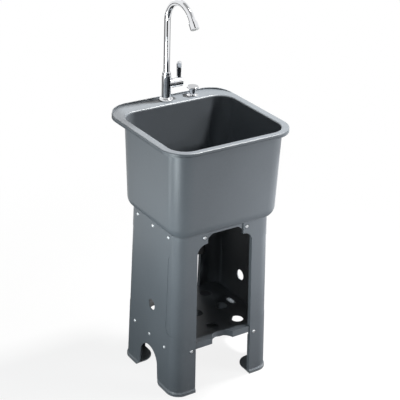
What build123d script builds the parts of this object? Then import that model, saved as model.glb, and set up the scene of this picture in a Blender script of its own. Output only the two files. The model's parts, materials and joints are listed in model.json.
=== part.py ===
from build123d import *
import os

os.makedirs("parts", exist_ok=True)

# Free-standing plastic sink: a moulded tub on two side panels with one shelf.
# X runs to the right along the front, Y to the back, Z up. All sizes are in millimetres.
# The origin is on the floor, in the middle of the stand.

# Rim and ledge
RIM_HEIGHT = 800.0            # floor to the top of the rim
RIM_WIDTH = 412.0
RIM_FRONT = 184.5             # front edge, from the middle of the stand
RIM_BACK = 219.0              # rear edge of the ledge, from the middle of the stand
RIM_FRONT_RADIUS = 75.0
RIM_BACK_RADIUS = 80.0
RIM_THICKNESS = 4.0
RIM_SKIRT = 12.0              # height of the turned-down edge
RIM_SKIRT_WALL = 3.5
RIM_EDGE_RADIUS = 2.8
RIM_BEAD = 3.0                # height of the bead along the lower edge of the skirt
RIM_BAND_DEPTH = 0.8          # sunk band above that bead
RIM_OVERHANG = 20.0           # rim past the tub, left and right
FRONT_OVERHANG = 17.5
LEDGE_DEPTH = 57.0            # rim past the tub, at the rear
LIP_HEIGHT = 5.0              # low upstand along the back of the ledge
LIP_WIDTH = 3.0
LIP_INSET = 1.5
LIP_START = 150.0             # where the upstand begins to rise, from the middle of the stand
LIP_FULL = 196.0              # where it has its full height

# Tub
BOWL_DEPTH = 277.0            # top of the rim to the floor of the tub
TUB_WALL = 4.0
TUB_TAPER_X = 17.0            # how much narrower the tub is at its underside
TUB_TAPER_Y = 16.0
TUB_TOP_RADIUS = 56.0
TUB_FOOT_RADIUS = 52.0
TUB_BOTTOM_ROUND = 38.0
OPENING_ROUND = 5.0

# Collar under the tub, which the side panels are screwed to
COLLAR_WALL = 4.0
COLLAR_BOTTOM_DROP = 25.0     # underside of the tub to the lower edge of the collar
COLLAR_ARCH_DROP = 5.0        # underside of the tub to the top of the arched cut-out
COLLAR_ARCH_FLAT = 88.0       # width of the straight top of the arched cut-out
COLLAR_ARCH_WIDTH = 122.0
COLLAR_ARCH_SHOULDER = 13.0
RIB_WALL = 3.0
RIB_DROP = 62.0
RIB_SHORT = 8.0               # ribs stop this far inside the skirt
RIB_PLACES = (-128.0, -42.0, 44.0, 128.0)

# Stand
PANEL_WALL = 3.0
PANEL_RISE = 4.0              # how far the panels come up past the underside of the tub
STAND_INSET_X = 16.8          # underside of the tub to the top of the stand, each side
STAND_INSET_Y = 18.3
STAND_SPREAD_X = 20.6         # how much wider the stand is on the floor
STAND_SPREAD_Y = 26.2
STAND_RADIUS = 38.0
FIT = 0.3                     # gap between the panels and what slides inside them
OPENING_TOP_NEAR = 91.5       # middle of the stand to the edge of a panel's rear flange
OPENING_FOOT_NEAR = 99.5
OPENING_TOP_FAR = 95.3        # the same for the front flange, set back further at its top
OPENING_FOOT_FAR = 96.8
TAB_GAP = 122.0               # between the upper tabs of the two panels
TAB_DROP = 35.0
TAB_ROUND = 30.0
RETURN_DEPTH = 13.0           # turned-in edge along the openings, from the outer face
FOOT_LIP = 3.0
FOOT_LIP_HEIGHT = 8.0
FOOT_LIP_BLEND = 5.0
FOOT_PLATE_WIDTH = 71.0
FOOT_PLATE_LENGTH = 83.0
FOOT_PLATE_RADIUS = 45.0
FOOT_PLATE_THICKNESS = 3.0
ARCH_RADIUS = 49.0            # cut-out between the feet of a side panel
ARCH_CENTRE_HEIGHT = 57.0
ARCH_FOOT_HALF = 53.0
ARCH_FLARE = 14.0
HOSE_HOLE = 34.0
HOSE_HOLE_HEIGHT = 251.0
HOSE_HOLE_OFFSET = 8.0
FIELD_DEPTH = 1.0             # sunk field on each leg corner
FIELD_EDGE = 90.0             # from the middle of the panel
FIELD_BOTTOM = 197.0
FIELD_TOP = 459.0
FIELD_RADIUS = 22.0
DIMPLE = 15.0                 # sunk seat round each screw head
DIMPLE_DEPTH = 0.6

# Shelf
SHELF_HEIGHT = 167.0
SHELF_WALL = 3.0
SHELF_FLANGE = 20.0           # front and rear flanges between the openings
SHELF_EAR = 33.0              # flange height where the screws go in
SHELF_EAR_START = 95.0        # from the middle of the shelf
SCALLOP_RADIUS = 38.0
SCALLOP_DEPTH = 27.0
SHELF_HOLE = 38.0
SHELF_HOLE_PITCH_X = 90.0
SHELF_HOLE_PITCH_Y = 88.0

# Screws
SCREW_SHANK = 4.2
SCREW_CLEARANCE = 0.4
SCREW_LENGTH = 11.0
SCREW_HEAD = 10.6
SCREW_HEAD_HEIGHT = 3.0
SIDE_SCREW_PITCH = 86.0
UPPER_SCREW_DROP = 14.5       # from the top of the panels
UPPER_FRONT_SCREW = 72.3      # from the middle
LOWER_SCREW_DROP = 21.5       # from the top of the shelf
LOWER_FRONT_SCREW = 111.0

# Tap
TAP_SIDE = -4.0               # axis of the tap, from the middle of the stand
TAP_BACK = 193.0
TAP_HOLE = 25.0
TAP_GASKET = 1.5
TAP_FLANGE = 42.0
TAP_FLANGE_HEIGHT = 9.0
TAP_BODY = 27.5
TAP_BODY_HEIGHT = 78.0        # flange underside to the top of the body
RUNNING_FIT = 0.08            # radial gap of what turns or slides inside something else
WATERWAY = 10.0
SHANK = 20.6
SHANK_BORE = 14.0
SHANK_SOCKET = 12.0
SHANK_LENGTH = 48.0           # below the ledge
SHANK_THREAD = 30.0           # length of the threaded end
SHANK_GROOVE = 2.0            # relief above the threaded end
SHANK_GROOVE_DEPTH = 1.2
SHANK_CHAMFER = 1.0
LOCK_WASHER = 38.0
LOCK_WASHER_THICKNESS = 2.0
LOCK_NUT = 34.0
LOCK_NUT_HEIGHT = 9.0

# Spout
COLLAR_NUT = 25.5
COLLAR_NUT_HEIGHT = 8.5
SPOUT_TUBE = 18.6
SPOUT_BORE = 15.4
SPOUT_SOCKET = 17.0           # how far the sleeve goes into the tap body
SPOUT_RISE = 242.0            # top of the ledge to the start of the bend
SPOUT_BEND = 70.0             # radius of the bend, at the middle of the tube
SPOUT_TURN = 143.0            # degrees
SPOUT_RUN = 9.5               # straight tube between the bend and the nozzle
SLEEVE_BORE = 12.0
SLEEVE_SPIGOT = 8.0           # how far the sleeve goes up into the tube
SLEEVE_BEAD = 1.2             # how far the bead under the nut stands out
SLEEVE_BEAD_HEIGHT = 2.0
SEAL_RING = 1.8
SEAL_DROPS = (7.0, 13.0)      # top of the tap body to each seal ring
NOZZLE = 25.4
NOZZLE_LENGTH = 25.0
NOZZLE_NECK = 22.0
NOZZLE_NECK_LENGTH = 5.0
NOZZLE_GRIP = 8.0             # how far the tube goes into the nozzle
AERATOR = 20.4
AERATOR_LENGTH = 9.0
AERATOR_HOLE = 2.4
AERATOR_PITCH = 3.6

# Side valve and lever
VALVE_HEIGHT = 49.5           # ledge to the axis of the valve
VALVE_BOSS = 25.0
VALVE_BOSS_REACH = 20.5       # from the axis of the tap
VALVE_BONNET = 28.6
VALVE_BONNET_LENGTH = 2.6
CARTRIDGE = 17.0
CARTRIDGE_START = -3.0        # inner end of the cartridge, from the axis of the tap
CARTRIDGE_NECK = 11.0
CARTRIDGE_NECK_LENGTH = 6.0
DISC_CHAMBER = 13.6
DISC_THICKNESS = 2.5
DISC_PORT = 4.0
STEM = 7.4
STEM_HEAD = 12.0
STEM_HEAD_LENGTH = 3.0
HUB = 28.0
HUB_GAP = 0.5
HUB_LENGTH = 28.4
HUB_GRIP = 10.0               # how far the stem goes into the hub
HUB_ROUND = 2.5
LEVER_WIDTH = 16.5
LEVER_ROOT_WIDTH = 13.0
LEVER_OFFSET = 5.0            # blade from the middle of the hub, outwards
LEVER_THICKNESS = 5.0
LEVER_REACH = 65.0            # from the valve's axis to the tip
HANDLE_CAP = 17.0
HANDLE_CAP_THICKNESS = 2.5
HANDLE_RECESS = 8.0
HANDLE_SCREW = 4.2
HANDLE_SCREW_HEAD = 7.5
HANDLE_SCREW_HEAD_HEIGHT = 3.0

# Lift knob
KNOB_SIDE = 86.5              # from the middle of the sink
KNOB_BACK = 190.0
KNOB_HEAD = 35.5
KNOB_HEAD_HEIGHT = 4.0        # straight band of the head
KNOB_CONE_HEIGHT = 4.5        # slope under the band
KNOB_HEIGHT = 28.5            # ledge to the top of the knob
KNOB_STEM = 20.4
KNOB_BORE = 13.0
KNOB_TRAVEL = 12.0
KNOB_STOP = 25.0
KNOB_STOP_HEIGHT = 2.0
KNOB_TAIL = 4.0               # stem below the stop ring
GUIDE_FLANGE = 34.0
GUIDE_FLANGE_HEIGHT = 5.0
GUIDE_TUBE = 25.0
GUIDE_LENGTH = 36.0           # below the ledge
GUIDE_HOLE_CLEARANCE = 1.0
GUIDE_NUT = 37.0
GUIDE_NUT_HEIGHT = 7.0

# Drain
DRAIN_FLANGE = 112.0
DRAIN_FLANGE_THICKNESS = 1.6
DRAIN_RECESS = 2.0
DRAIN_HOLE = 86.0
DRAIN_BOWL = 84.0
DRAIN_BOWL_WALL = 1.6
DRAIN_BOWL_STRAIGHT = 20.0
DRAIN_BOWL_FOOT = 66.0
DRAIN_BOWL_DEPTH = 46.0
DRAIN_OUTLET = 44.0
DRAIN_OUTLET_BORE = 36.0
DRAIN_OUTLET_LENGTH = 34.0
DRAIN_GASKET_THICKNESS = 3.0
DRAIN_GASKET_INSET = 2.0      # gasket inside the edge of its nut
DRAIN_NUT = 108.0
DRAIN_NUT_HEIGHT = 9.0
DRAIN_NUT_NOTCHES = 12
DRAIN_NUT_NOTCH = 10.0        # width of a notch
SPIDER_ARM = 2.4
SPIDER_HEIGHT = 6.0
SPIDER_BOSS = 11.0
BASKET_RIM = 76.0
BASKET_BODY = 58.0
BASKET_FOOT = 52.0
BASKET_HEIGHT = 27.0
BASKET_WALL = 1.4
BASKET_SLOTS = 12
BASKET_SLOT_WIDTH = 3.2
BASKET_GRIP = 15.0
BASKET_GRIP_HEIGHT = 8.0
BASKET_PIN = 6.0
BASKET_LIFT = 9.0
BASKET_SEAL = 48.0
BASKET_SEAL_THICKNESS = 3.0
GLAND = 11.0
GLAND_BORE = 5.0
GLAND_REACH = 40.0            # from the middle of the drain
TAILPIECE = 38.0
TAILPIECE_NECK = 37.0         # just under the slip nut
TAILPIECE_BORE = 34.0
TAILPIECE_LENGTH = 58.0
TAILPIECE_GRIP = 49.0         # length of the tail that takes a hose
TAILPIECE_FLANGE_THICKNESS = 2.0
TAILPIECE_WASHER_THICKNESS = 2.0
SLIP_NUT = 56.0
SLIP_NUT_HEIGHT = 18.0
SLIP_NUT_LIP = 3.0
SLIP_NUT_CLEARANCE = 0.2
SLIP_NUT_RIBS = 12

# Tub and stand, from the rim
TUB_TOP_WIDTH = RIM_WIDTH - 2 * RIM_OVERHANG
TUB_TOP_LENGTH = RIM_FRONT + RIM_BACK - FRONT_OVERHANG - LEDGE_DEPTH
TUB_CENTRE = (RIM_BACK - LEDGE_DEPTH - RIM_FRONT + FRONT_OVERHANG) / 2
TUB_FOOT_WIDTH = TUB_TOP_WIDTH - TUB_TAPER_X
TUB_FOOT_LENGTH = TUB_TOP_LENGTH - TUB_TAPER_Y
STAND_TOP_WIDTH = TUB_FOOT_WIDTH - 2 * STAND_INSET_X
STAND_TOP_LENGTH = TUB_FOOT_LENGTH - 2 * STAND_INSET_Y
STAND_FOOT_WIDTH = STAND_TOP_WIDTH + STAND_SPREAD_X
STAND_FOOT_LENGTH = STAND_TOP_LENGTH + STAND_SPREAD_Y

# Levels
FLOOR_Z = RIM_HEIGHT - BOWL_DEPTH
UNDER_Z = FLOOR_Z - TUB_WALL
PANEL_TOP = UNDER_Z + PANEL_RISE
TAB_Z = PANEL_TOP - TAB_DROP
SHELF_BOTTOM = SHELF_HEIGHT - SHELF_EAR
UPPER_SCREW_Z = PANEL_TOP - UPPER_SCREW_DROP
LOWER_SCREW_Z = SHELF_HEIGHT - LOWER_SCREW_DROP
SPLAY_X = (STAND_FOOT_WIDTH - STAND_TOP_WIDTH) / 2 / PANEL_TOP
SPLAY_Y = (STAND_FOOT_LENGTH - STAND_TOP_LENGTH) / 2 / PANEL_TOP


def half_width(z):
    """Half of the stand's outer width at a height."""
    return STAND_FOOT_WIDTH / 2 - SPLAY_X * z


def half_length(z):
    """Half of the stand's outer length, front to back, at a height."""
    return STAND_FOOT_LENGTH / 2 - SPLAY_Y * z


def flange_edge(z, foot, top):
    """Distance from the middle of the stand to the edge of a flange at a height."""
    return foot - (foot - top) * z / PANEL_TOP


def stand_block(z0, z1, grow0=0.0, grow1=None):
    """A block with the stand's splayed outline between two heights, grown or shrunk."""
    grow1 = grow0 if grow1 is None else grow1
    with BuildPart() as block:
        for z, grow in ((z0, grow0), (z1, grow1)):
            with BuildSketch(Plane.XY.offset(z)):
                RectangleRounded(
                    2 * (half_width(z) + grow), 2 * (half_length(z) + grow), STAND_RADIUS + grow
                )
        loft(ruled=True)
    return block.part


def tub_block(z0, z1, grow=0.0):
    """A block with the tub's tapered outline between two heights, grown or shrunk."""
    with BuildPart() as block:
        for z in (z0, z1):
            share = (z - UNDER_Z) / (RIM_HEIGHT - UNDER_Z)
            width = TUB_FOOT_WIDTH + (TUB_TOP_WIDTH - TUB_FOOT_WIDTH) * share + 2 * grow
            length = TUB_FOOT_LENGTH + (TUB_TOP_LENGTH - TUB_FOOT_LENGTH) * share + 2 * grow
            radius = TUB_FOOT_RADIUS + (TUB_TOP_RADIUS - TUB_FOOT_RADIUS) * share + grow
            with BuildSketch(Plane((0, TUB_CENTRE, z))):
                RectangleRounded(width, length, radius)
        loft(ruled=True)
    return block.part


def rim_block(z0, z1, inset=0.0):
    """A block with the rim's outline between two heights, set in from its edge."""
    with BuildPart() as block:
        with BuildSketch(Plane.XY.offset(z0)) as outline:
            with Locations((0, (RIM_BACK - RIM_FRONT) / 2)):
                Rectangle(RIM_WIDTH - 2 * inset, RIM_FRONT + RIM_BACK - 2 * inset)
            fillet(outline.vertices().group_by(Axis.Y)[0], RIM_FRONT_RADIUS - inset)
            fillet(outline.vertices().sort_by(Axis.Y)[-2:], RIM_BACK_RADIUS - inset)
        extrude(amount=z1 - z0)
    return block.part


def side_plane(side, y, z):
    """Plane on a side panel's outer face; side is -1 for left and 1 for right."""
    return Plane((side * half_width(z), y, z), x_dir=(0, 1, 0), z_dir=(side, 0, SPLAY_X))


def end_plane(end, x, z):
    """Plane on the front (-1) or rear (1) outer face of the stand."""
    return Plane((x, end * half_length(z), z), x_dir=(1, 0, 0), z_dir=(0, end, SPLAY_Y))


def side_screws(side, z):
    return [side_plane(side, y, z) for y in (-SIDE_SCREW_PITCH, 0, SIDE_SCREW_PITCH)]


def end_screws(end, x, z):
    return [end_plane(end, place, z) for place in (-x, x)]


UPPER_PLANES = {
    "left": side_screws(-1, UPPER_SCREW_Z),
    "right": side_screws(1, UPPER_SCREW_Z),
    "front": end_screws(-1, UPPER_FRONT_SCREW, UPPER_SCREW_Z),
    "rear": end_screws(1, UPPER_FRONT_SCREW, UPPER_SCREW_Z),
}
LOWER_PLANES = {
    "left": side_screws(-1, LOWER_SCREW_Z),
    "right": side_screws(1, LOWER_SCREW_Z),
    "front": end_screws(-1, LOWER_FRONT_SCREW, LOWER_SCREW_Z),
    "rear": end_screws(1, LOWER_FRONT_SCREW, LOWER_SCREW_Z),
}
ALL_UPPER = [plane for group in UPPER_PLANES.values() for plane in group]
ALL_LOWER = [plane for group in LOWER_PLANES.values() for plane in group]


# Basin: tub, rim, ledge and collar in one moulding

with BuildPart() as tub_hollow:
    add(tub_block(FLOOR_Z, RIM_HEIGHT + OPENING_ROUND, -TUB_WALL))
    fillet(tub_hollow.edges().group_by(Axis.Z)[0], TUB_BOTTOM_ROUND - TUB_WALL)

with BuildPart() as rim_band:
    band_top = RIM_HEIGHT - RIM_EDGE_RADIUS - RIM_BAND_DEPTH
    band_bottom = RIM_HEIGHT - RIM_SKIRT + RIM_BEAD
    add(rim_block(band_bottom, band_top, -1))
    add(rim_block(band_bottom, band_top, RIM_BAND_DEPTH), mode=Mode.SUBTRACT)

with BuildPart() as rim_shell:
    add(rim_block(RIM_HEIGHT - RIM_SKIRT, RIM_HEIGHT))
    add(
        rim_block(RIM_HEIGHT - RIM_SKIRT, RIM_HEIGHT - RIM_THICKNESS, RIM_SKIRT_WALL),
        mode=Mode.SUBTRACT,
    )

with BuildPart() as rear_lip:
    add(rim_block(RIM_HEIGHT - 1, RIM_HEIGHT + LIP_HEIGHT, LIP_INSET))
    add(
        rim_block(RIM_HEIGHT - 1, RIM_HEIGHT + LIP_HEIGHT, LIP_INSET + LIP_WIDTH),
        mode=Mode.SUBTRACT,
    )
    with BuildSketch(Plane.YZ):
        with BuildLine():
            Polyline(
                (LIP_START, RIM_HEIGHT),
                (LIP_FULL, RIM_HEIGHT + LIP_HEIGHT),
                (RIM_BACK, RIM_HEIGHT + LIP_HEIGHT),
                (RIM_BACK, RIM_HEIGHT - 1),
                (LIP_START, RIM_HEIGHT - 1),
                close=True,
            )
        make_face()
    extrude(amount=RIM_WIDTH, both=True, mode=Mode.INTERSECT)
    fillet(rear_lip.faces().filter_by(Axis.Z).sort_by(Axis.Z)[-1].edges(), LIP_WIDTH * 0.3)

with BuildPart() as collar:
    add(stand_block(UNDER_Z - COLLAR_BOTTOM_DROP, PANEL_TOP + 2, -PANEL_WALL - FIT))
    add(
        stand_block(UNDER_Z - COLLAR_BOTTOM_DROP, UNDER_Z, -PANEL_WALL - FIT - COLLAR_WALL),
        mode=Mode.SUBTRACT,
    )
    with BuildSketch(Plane.XZ) as arch_cut:
        with BuildLine():
            Polyline(
                (-COLLAR_ARCH_WIDTH / 2, UNDER_Z - COLLAR_BOTTOM_DROP - 1),
                (-COLLAR_ARCH_WIDTH / 2, UNDER_Z - COLLAR_ARCH_DROP - COLLAR_ARCH_SHOULDER),
                (-COLLAR_ARCH_FLAT / 2, UNDER_Z - COLLAR_ARCH_DROP),
                (COLLAR_ARCH_FLAT / 2, UNDER_Z - COLLAR_ARCH_DROP),
                (COLLAR_ARCH_WIDTH / 2, UNDER_Z - COLLAR_ARCH_DROP - COLLAR_ARCH_SHOULDER),
                (COLLAR_ARCH_WIDTH / 2, UNDER_Z - COLLAR_BOTTOM_DROP - 1),
                close=True,
            )
        make_face()
        fillet(arch_cut.vertices().sort_by(Axis.Y)[-2:], COLLAR_ARCH_SHOULDER)
    extrude(amount=STAND_FOOT_LENGTH, both=True, mode=Mode.SUBTRACT)

with BuildPart() as panel_seat:
    add(stand_block(UNDER_Z - 1, PANEL_TOP + FIT, FIT))
    add(stand_block(UNDER_Z - 1, PANEL_TOP + FIT, -PANEL_WALL - FIT), mode=Mode.SUBTRACT)

with BuildPart() as basin:
    add(tub_block(UNDER_Z, RIM_HEIGHT - 1))
    fillet(basin.edges().group_by(Axis.Z)[0], TUB_BOTTOM_ROUND)
    add(panel_seat.part, mode=Mode.SUBTRACT)
    add(rim_shell.part)
    add(collar.part)
    add(tub_hollow.part, mode=Mode.SUBTRACT)
    top_face = basin.faces().filter_by(Axis.Z).sort_by(Axis.Z)[-1]
    fillet(top_face.inner_wires()[0].edges(), OPENING_ROUND)
    top_face = basin.faces().filter_by(Axis.Z).sort_by(Axis.Z)[-1]
    fillet(top_face.outer_wire().edges(), RIM_EDGE_RADIUS)
    add(rim_band.part, mode=Mode.SUBTRACT)
    add(rear_lip.part)
    rib_root = TUB_CENTRE + TUB_TOP_LENGTH / 2 - TUB_WALL
    rib_end = RIM_BACK - RIM_SKIRT_WALL - RIB_SHORT
    for place in RIB_PLACES:
        with BuildSketch(Plane.YZ.offset(place)):
            with BuildLine():
                Polyline(
                    (rib_root, RIM_HEIGHT - RIM_THICKNESS),
                    (rib_end, RIM_HEIGHT - RIM_THICKNESS),
                    (rib_end, RIM_HEIGHT - RIM_SKIRT),
                    (rib_root, RIM_HEIGHT - RIM_THICKNESS - RIB_DROP),
                    close=True,
                )
            make_face()
        extrude(amount=RIB_WALL / 2, both=True)
    with Locations((0, 0, UNDER_Z - DRAIN_RECESS)):
        Cylinder(
            DRAIN_FLANGE / 2 + 5, DRAIN_RECESS, align=(Align.CENTER, Align.CENTER, Align.MIN)
        )
    with Locations((0, 0, FLOOR_Z - DRAIN_RECESS)):
        Cylinder(
            DRAIN_FLANGE / 2 + 1,
            DRAIN_RECESS,
            align=(Align.CENTER, Align.CENTER, Align.MIN),
            mode=Mode.SUBTRACT,
        )
    with Locations((0, 0, FLOOR_Z)):
        Hole(DRAIN_HOLE / 2)
    with Locations((TAP_SIDE, TAP_BACK, RIM_HEIGHT)):
        Hole(TAP_HOLE / 2, 30)
    with Locations((KNOB_SIDE, KNOB_BACK, RIM_HEIGHT)):
        Hole(GUIDE_TUBE / 2 + GUIDE_HOLE_CLEARANCE / 2, 30)
    with Locations(*ALL_UPPER):
        Cylinder(SCREW_SHANK / 2, 30, mode=Mode.SUBTRACT)
basin.part.label = "basin"
export_step(basin.part, "parts/basin.step")


# Side panels: one moulding, used twice, turned half round

outer_block = stand_block(0, PANEL_TOP)


FAR_FLANGE = (OPENING_FOOT_FAR, OPENING_TOP_FAR)
NEAR_FLANGE = (OPENING_FOOT_NEAR, OPENING_TOP_NEAR)
BEYOND = STAND_FOOT_WIDTH / 4     # how far past the panel the cutting outlines run


def flange_view(edge, inset=0.0):
    """The left panel seen from the front: flange, tab and the rounded corner under it."""
    far = -STAND_FOOT_WIDTH
    with BuildSketch(Plane.XZ) as view:
        with BuildLine():
            Polyline(
                (far, -BEYOND),
                (-flange_edge(-BEYOND, *edge) - inset, -BEYOND),
                (-flange_edge(TAB_Z, *edge) - inset, TAB_Z + inset),
                (-TAB_GAP / 2 - inset, TAB_Z + inset),
                (-TAB_GAP / 2 - inset, PANEL_TOP + BEYOND),
                (far, PANEL_TOP + BEYOND),
                close=True,
            )
        make_face()
        inner_corner = (-flange_edge(TAB_Z, *edge) - inset, TAB_Z + inset, 0)
        fillet(view.vertices().sort_by_distance(inner_corner)[0], TAB_ROUND - inset)
    return view.sketch_local


with BuildPart() as leg_fields:
    add(outer_block)
    add(outer_block.moved(Location((FIELD_DEPTH, 0, 0))), mode=Mode.SUBTRACT)
    with BuildSketch(Plane.YZ):
        for end in (-1, 1):
            with Locations(
                (end * (FIELD_EDGE + STAND_FOOT_LENGTH) / 2, (FIELD_BOTTOM + FIELD_TOP) / 2)
            ):
                RectangleRounded(
                    STAND_FOOT_LENGTH - FIELD_EDGE, FIELD_TOP - FIELD_BOTTOM, FIELD_RADIUS
                )
    extrude(amount=-STAND_FOOT_WIDTH, mode=Mode.INTERSECT)

with BuildPart() as return_lips:
    for edge, reach in ((FAR_FLANGE, STAND_FOOT_LENGTH), (NEAR_FLANGE, -STAND_FOOT_LENGTH)):
        with BuildSketch(Plane.XZ):
            add(flange_view(edge))
            add(flange_view(edge, PANEL_WALL), mode=Mode.SUBTRACT)
            with Locations((0, TAB_Z + PANEL_WALL + STAND_FOOT_WIDTH / 2)):
                Rectangle(STAND_FOOT_WIDTH, STAND_FOOT_WIDTH, mode=Mode.SUBTRACT)
        extrude(amount=reach)
    add(outer_block, mode=Mode.INTERSECT)
    add(stand_block(-1, PANEL_TOP, -RETURN_DEPTH), mode=Mode.SUBTRACT)
    with Locations((0, 0, (SHELF_BOTTOM + SHELF_HEIGHT) / 2)):
        Box(
            STAND_FOOT_WIDTH,
            2 * (half_length(SHELF_BOTTOM) - PANEL_WALL),
            SHELF_EAR + 2,
            mode=Mode.SUBTRACT,
        )

with BuildPart() as foot_plates:
    with BuildSketch(Plane.XY) as plates:
        for end in (-1, 1):
            with Locations(
                (
                    -STAND_FOOT_WIDTH / 2 + FOOT_PLATE_WIDTH / 2,
                    end * (STAND_FOOT_LENGTH / 2 - FOOT_PLATE_LENGTH / 2),
                )
            ):
                Rectangle(FOOT_PLATE_WIDTH, FOOT_PLATE_LENGTH)
        inner_corners = plates.vertices().group_by(Axis.X)[-1].sort_by(Axis.Y)[1:3]
        fillet(inner_corners, FOOT_PLATE_RADIUS)
    extrude(amount=FOOT_PLATE_THICKNESS)
    add(outer_block, mode=Mode.INTERSECT)

with BuildPart() as panel_outline:
    for edge, reach in ((FAR_FLANGE, STAND_FOOT_LENGTH), (NEAR_FLANGE, -STAND_FOOT_LENGTH)):
        with BuildSketch(Plane.XZ):
            add(flange_view(edge))
        extrude(amount=reach)

with BuildPart() as left_side_panel:
    add(outer_block)
    add(stand_block(0, FOOT_LIP_HEIGHT, FOOT_LIP))
    add(stand_block(FOOT_LIP_HEIGHT, FOOT_LIP_HEIGHT + FOOT_LIP_BLEND, FOOT_LIP, 0.0))
    add(stand_block(-1, PANEL_TOP + 1, -PANEL_WALL), mode=Mode.SUBTRACT)
    add(panel_outline.part, mode=Mode.INTERSECT)
    add(return_lips.part)
    add(foot_plates.part)
    add(leg_fields.part, mode=Mode.SUBTRACT)
    with BuildSketch(Plane.YZ) as arch:
        with BuildLine():
            spring = ARCH_CENTRE_HEIGHT
            Polyline(
                (-ARCH_RADIUS, spring),
                (-ARCH_FOOT_HALF, ARCH_FLARE),
                (-ARCH_FOOT_HALF - ARCH_FLARE, 0),
                (-ARCH_FOOT_HALF - ARCH_FLARE, -1),
                (ARCH_FOOT_HALF + ARCH_FLARE, -1),
                (ARCH_FOOT_HALF + ARCH_FLARE, 0),
                (ARCH_FOOT_HALF, ARCH_FLARE),
                (ARCH_RADIUS, spring),
            )
            ThreePointArc(
                (ARCH_RADIUS, spring), (0, spring + ARCH_RADIUS), (-ARCH_RADIUS, spring)
            )
        make_face()
        flare_corners = arch.vertices().group_by(Axis.Y)[2]
        fillet(flare_corners, ARCH_FLARE * 0.8)
    extrude(amount=-STAND_FOOT_WIDTH, mode=Mode.SUBTRACT)
    with BuildSketch(Plane.YZ):
        with Locations((-HOSE_HOLE_OFFSET, HOSE_HOLE_HEIGHT)):
            Circle(HOSE_HOLE / 2)
    extrude(amount=-STAND_FOOT_WIDTH, mode=Mode.SUBTRACT)
    with Locations(*ALL_UPPER, *ALL_LOWER):
        Cylinder(DIMPLE / 2, 2 * DIMPLE_DEPTH, mode=Mode.SUBTRACT)
        Cylinder((SCREW_SHANK + SCREW_CLEARANCE) / 2, 2.5 * PANEL_WALL, mode=Mode.SUBTRACT)
left_side_panel.part.label = "left_side_panel"
export_step(left_side_panel.part, "parts/left_side_panel.step")

with BuildPart() as right_side_panel:
    add(left_side_panel.part, rotation=(0, 0, 180))
right_side_panel.part.label = "right_side_panel"
export_step(right_side_panel.part, "parts/right_side_panel.step")


# Shelf: a plate with turned-down edges, scalloped at the front and rear

SHELF_GROW = -PANEL_WALL - FIT
SCALLOP_CENTRE = half_length(SHELF_HEIGHT) + SHELF_GROW + SCALLOP_RADIUS - SCALLOP_DEPTH

with BuildPart() as shelf:
    add(stand_block(SHELF_BOTTOM, SHELF_HEIGHT, SHELF_GROW))
    add(
        stand_block(SHELF_BOTTOM, SHELF_HEIGHT - SHELF_WALL, SHELF_GROW - SHELF_WALL),
        mode=Mode.SUBTRACT,
    )
    with Locations((0, 0, SHELF_BOTTOM)):
        Box(
            2 * SHELF_EAR_START,
            STAND_FOOT_LENGTH,
            SHELF_EAR - SHELF_FLANGE,
            align=(Align.CENTER, Align.CENTER, Align.MIN),
            mode=Mode.SUBTRACT,
        )
    with Locations(
        (0, -SCALLOP_CENTRE, SHELF_HEIGHT - SHELF_FLANGE),
        (0, SCALLOP_CENTRE, SHELF_HEIGHT - SHELF_FLANGE),
    ):
        Cylinder(
            SCALLOP_RADIUS + SHELF_WALL,
            SHELF_FLANGE,
            align=(Align.CENTER, Align.CENTER, Align.MIN),
        )
    add(stand_block(SHELF_BOTTOM, SHELF_HEIGHT, SHELF_GROW), mode=Mode.INTERSECT)
    with Locations((0, -SCALLOP_CENTRE, SHELF_HEIGHT), (0, SCALLOP_CENTRE, SHELF_HEIGHT)):
        Cylinder(SCALLOP_RADIUS, 3 * SHELF_EAR, mode=Mode.SUBTRACT)
    with Locations((0, 0, SHELF_HEIGHT)):
        with GridLocations(SHELF_HOLE_PITCH_X, SHELF_HOLE_PITCH_Y, 3, 3):
            Hole(SHELF_HOLE / 2, 2 * SHELF_WALL)
    with Locations(*ALL_LOWER):
        Cylinder(SCREW_SHANK / 2, 30, mode=Mode.SUBTRACT)
shelf.part.label = "shelf"
export_step(shelf.part, "parts/shelf.step")


# Screws: one pan-head screw, set in groups

with BuildPart() as screw:
    with BuildSketch(Plane.XZ):
        with BuildLine():
            Polyline(
                (0, -SCREW_LENGTH),
                (SCREW_SHANK / 2 - 1, -SCREW_LENGTH),
                (SCREW_SHANK / 2, -SCREW_LENGTH + 2),
                (SCREW_SHANK / 2, 0),
                (SCREW_HEAD / 2, 0),
                (SCREW_HEAD / 2, SCREW_HEAD_HEIGHT * 0.35),
            )
            TangentArc(
                (0, SCREW_HEAD_HEIGHT),
                (SCREW_HEAD / 2, SCREW_HEAD_HEIGHT * 0.35),
                tangent=(1, 0),
            )
            Line((0, SCREW_HEAD_HEIGHT), (0, -SCREW_LENGTH))
        make_face()
    revolve(axis=Axis.Z)

for level, groups in (("upper", UPPER_PLANES), ("lower", LOWER_PLANES)):
    for side, planes in groups.items():
        with BuildPart() as screw_group:
            with Locations(*[plane.offset(-DIMPLE_DEPTH) for plane in planes]):
                add(screw.part)
        screw_group.part.label = f"{side}_{level}_screws"
        export_step(screw_group.part, f"parts/{side}_{level}_screws.step")


# Tap: body with a side valve, swivel spout and lever

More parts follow.
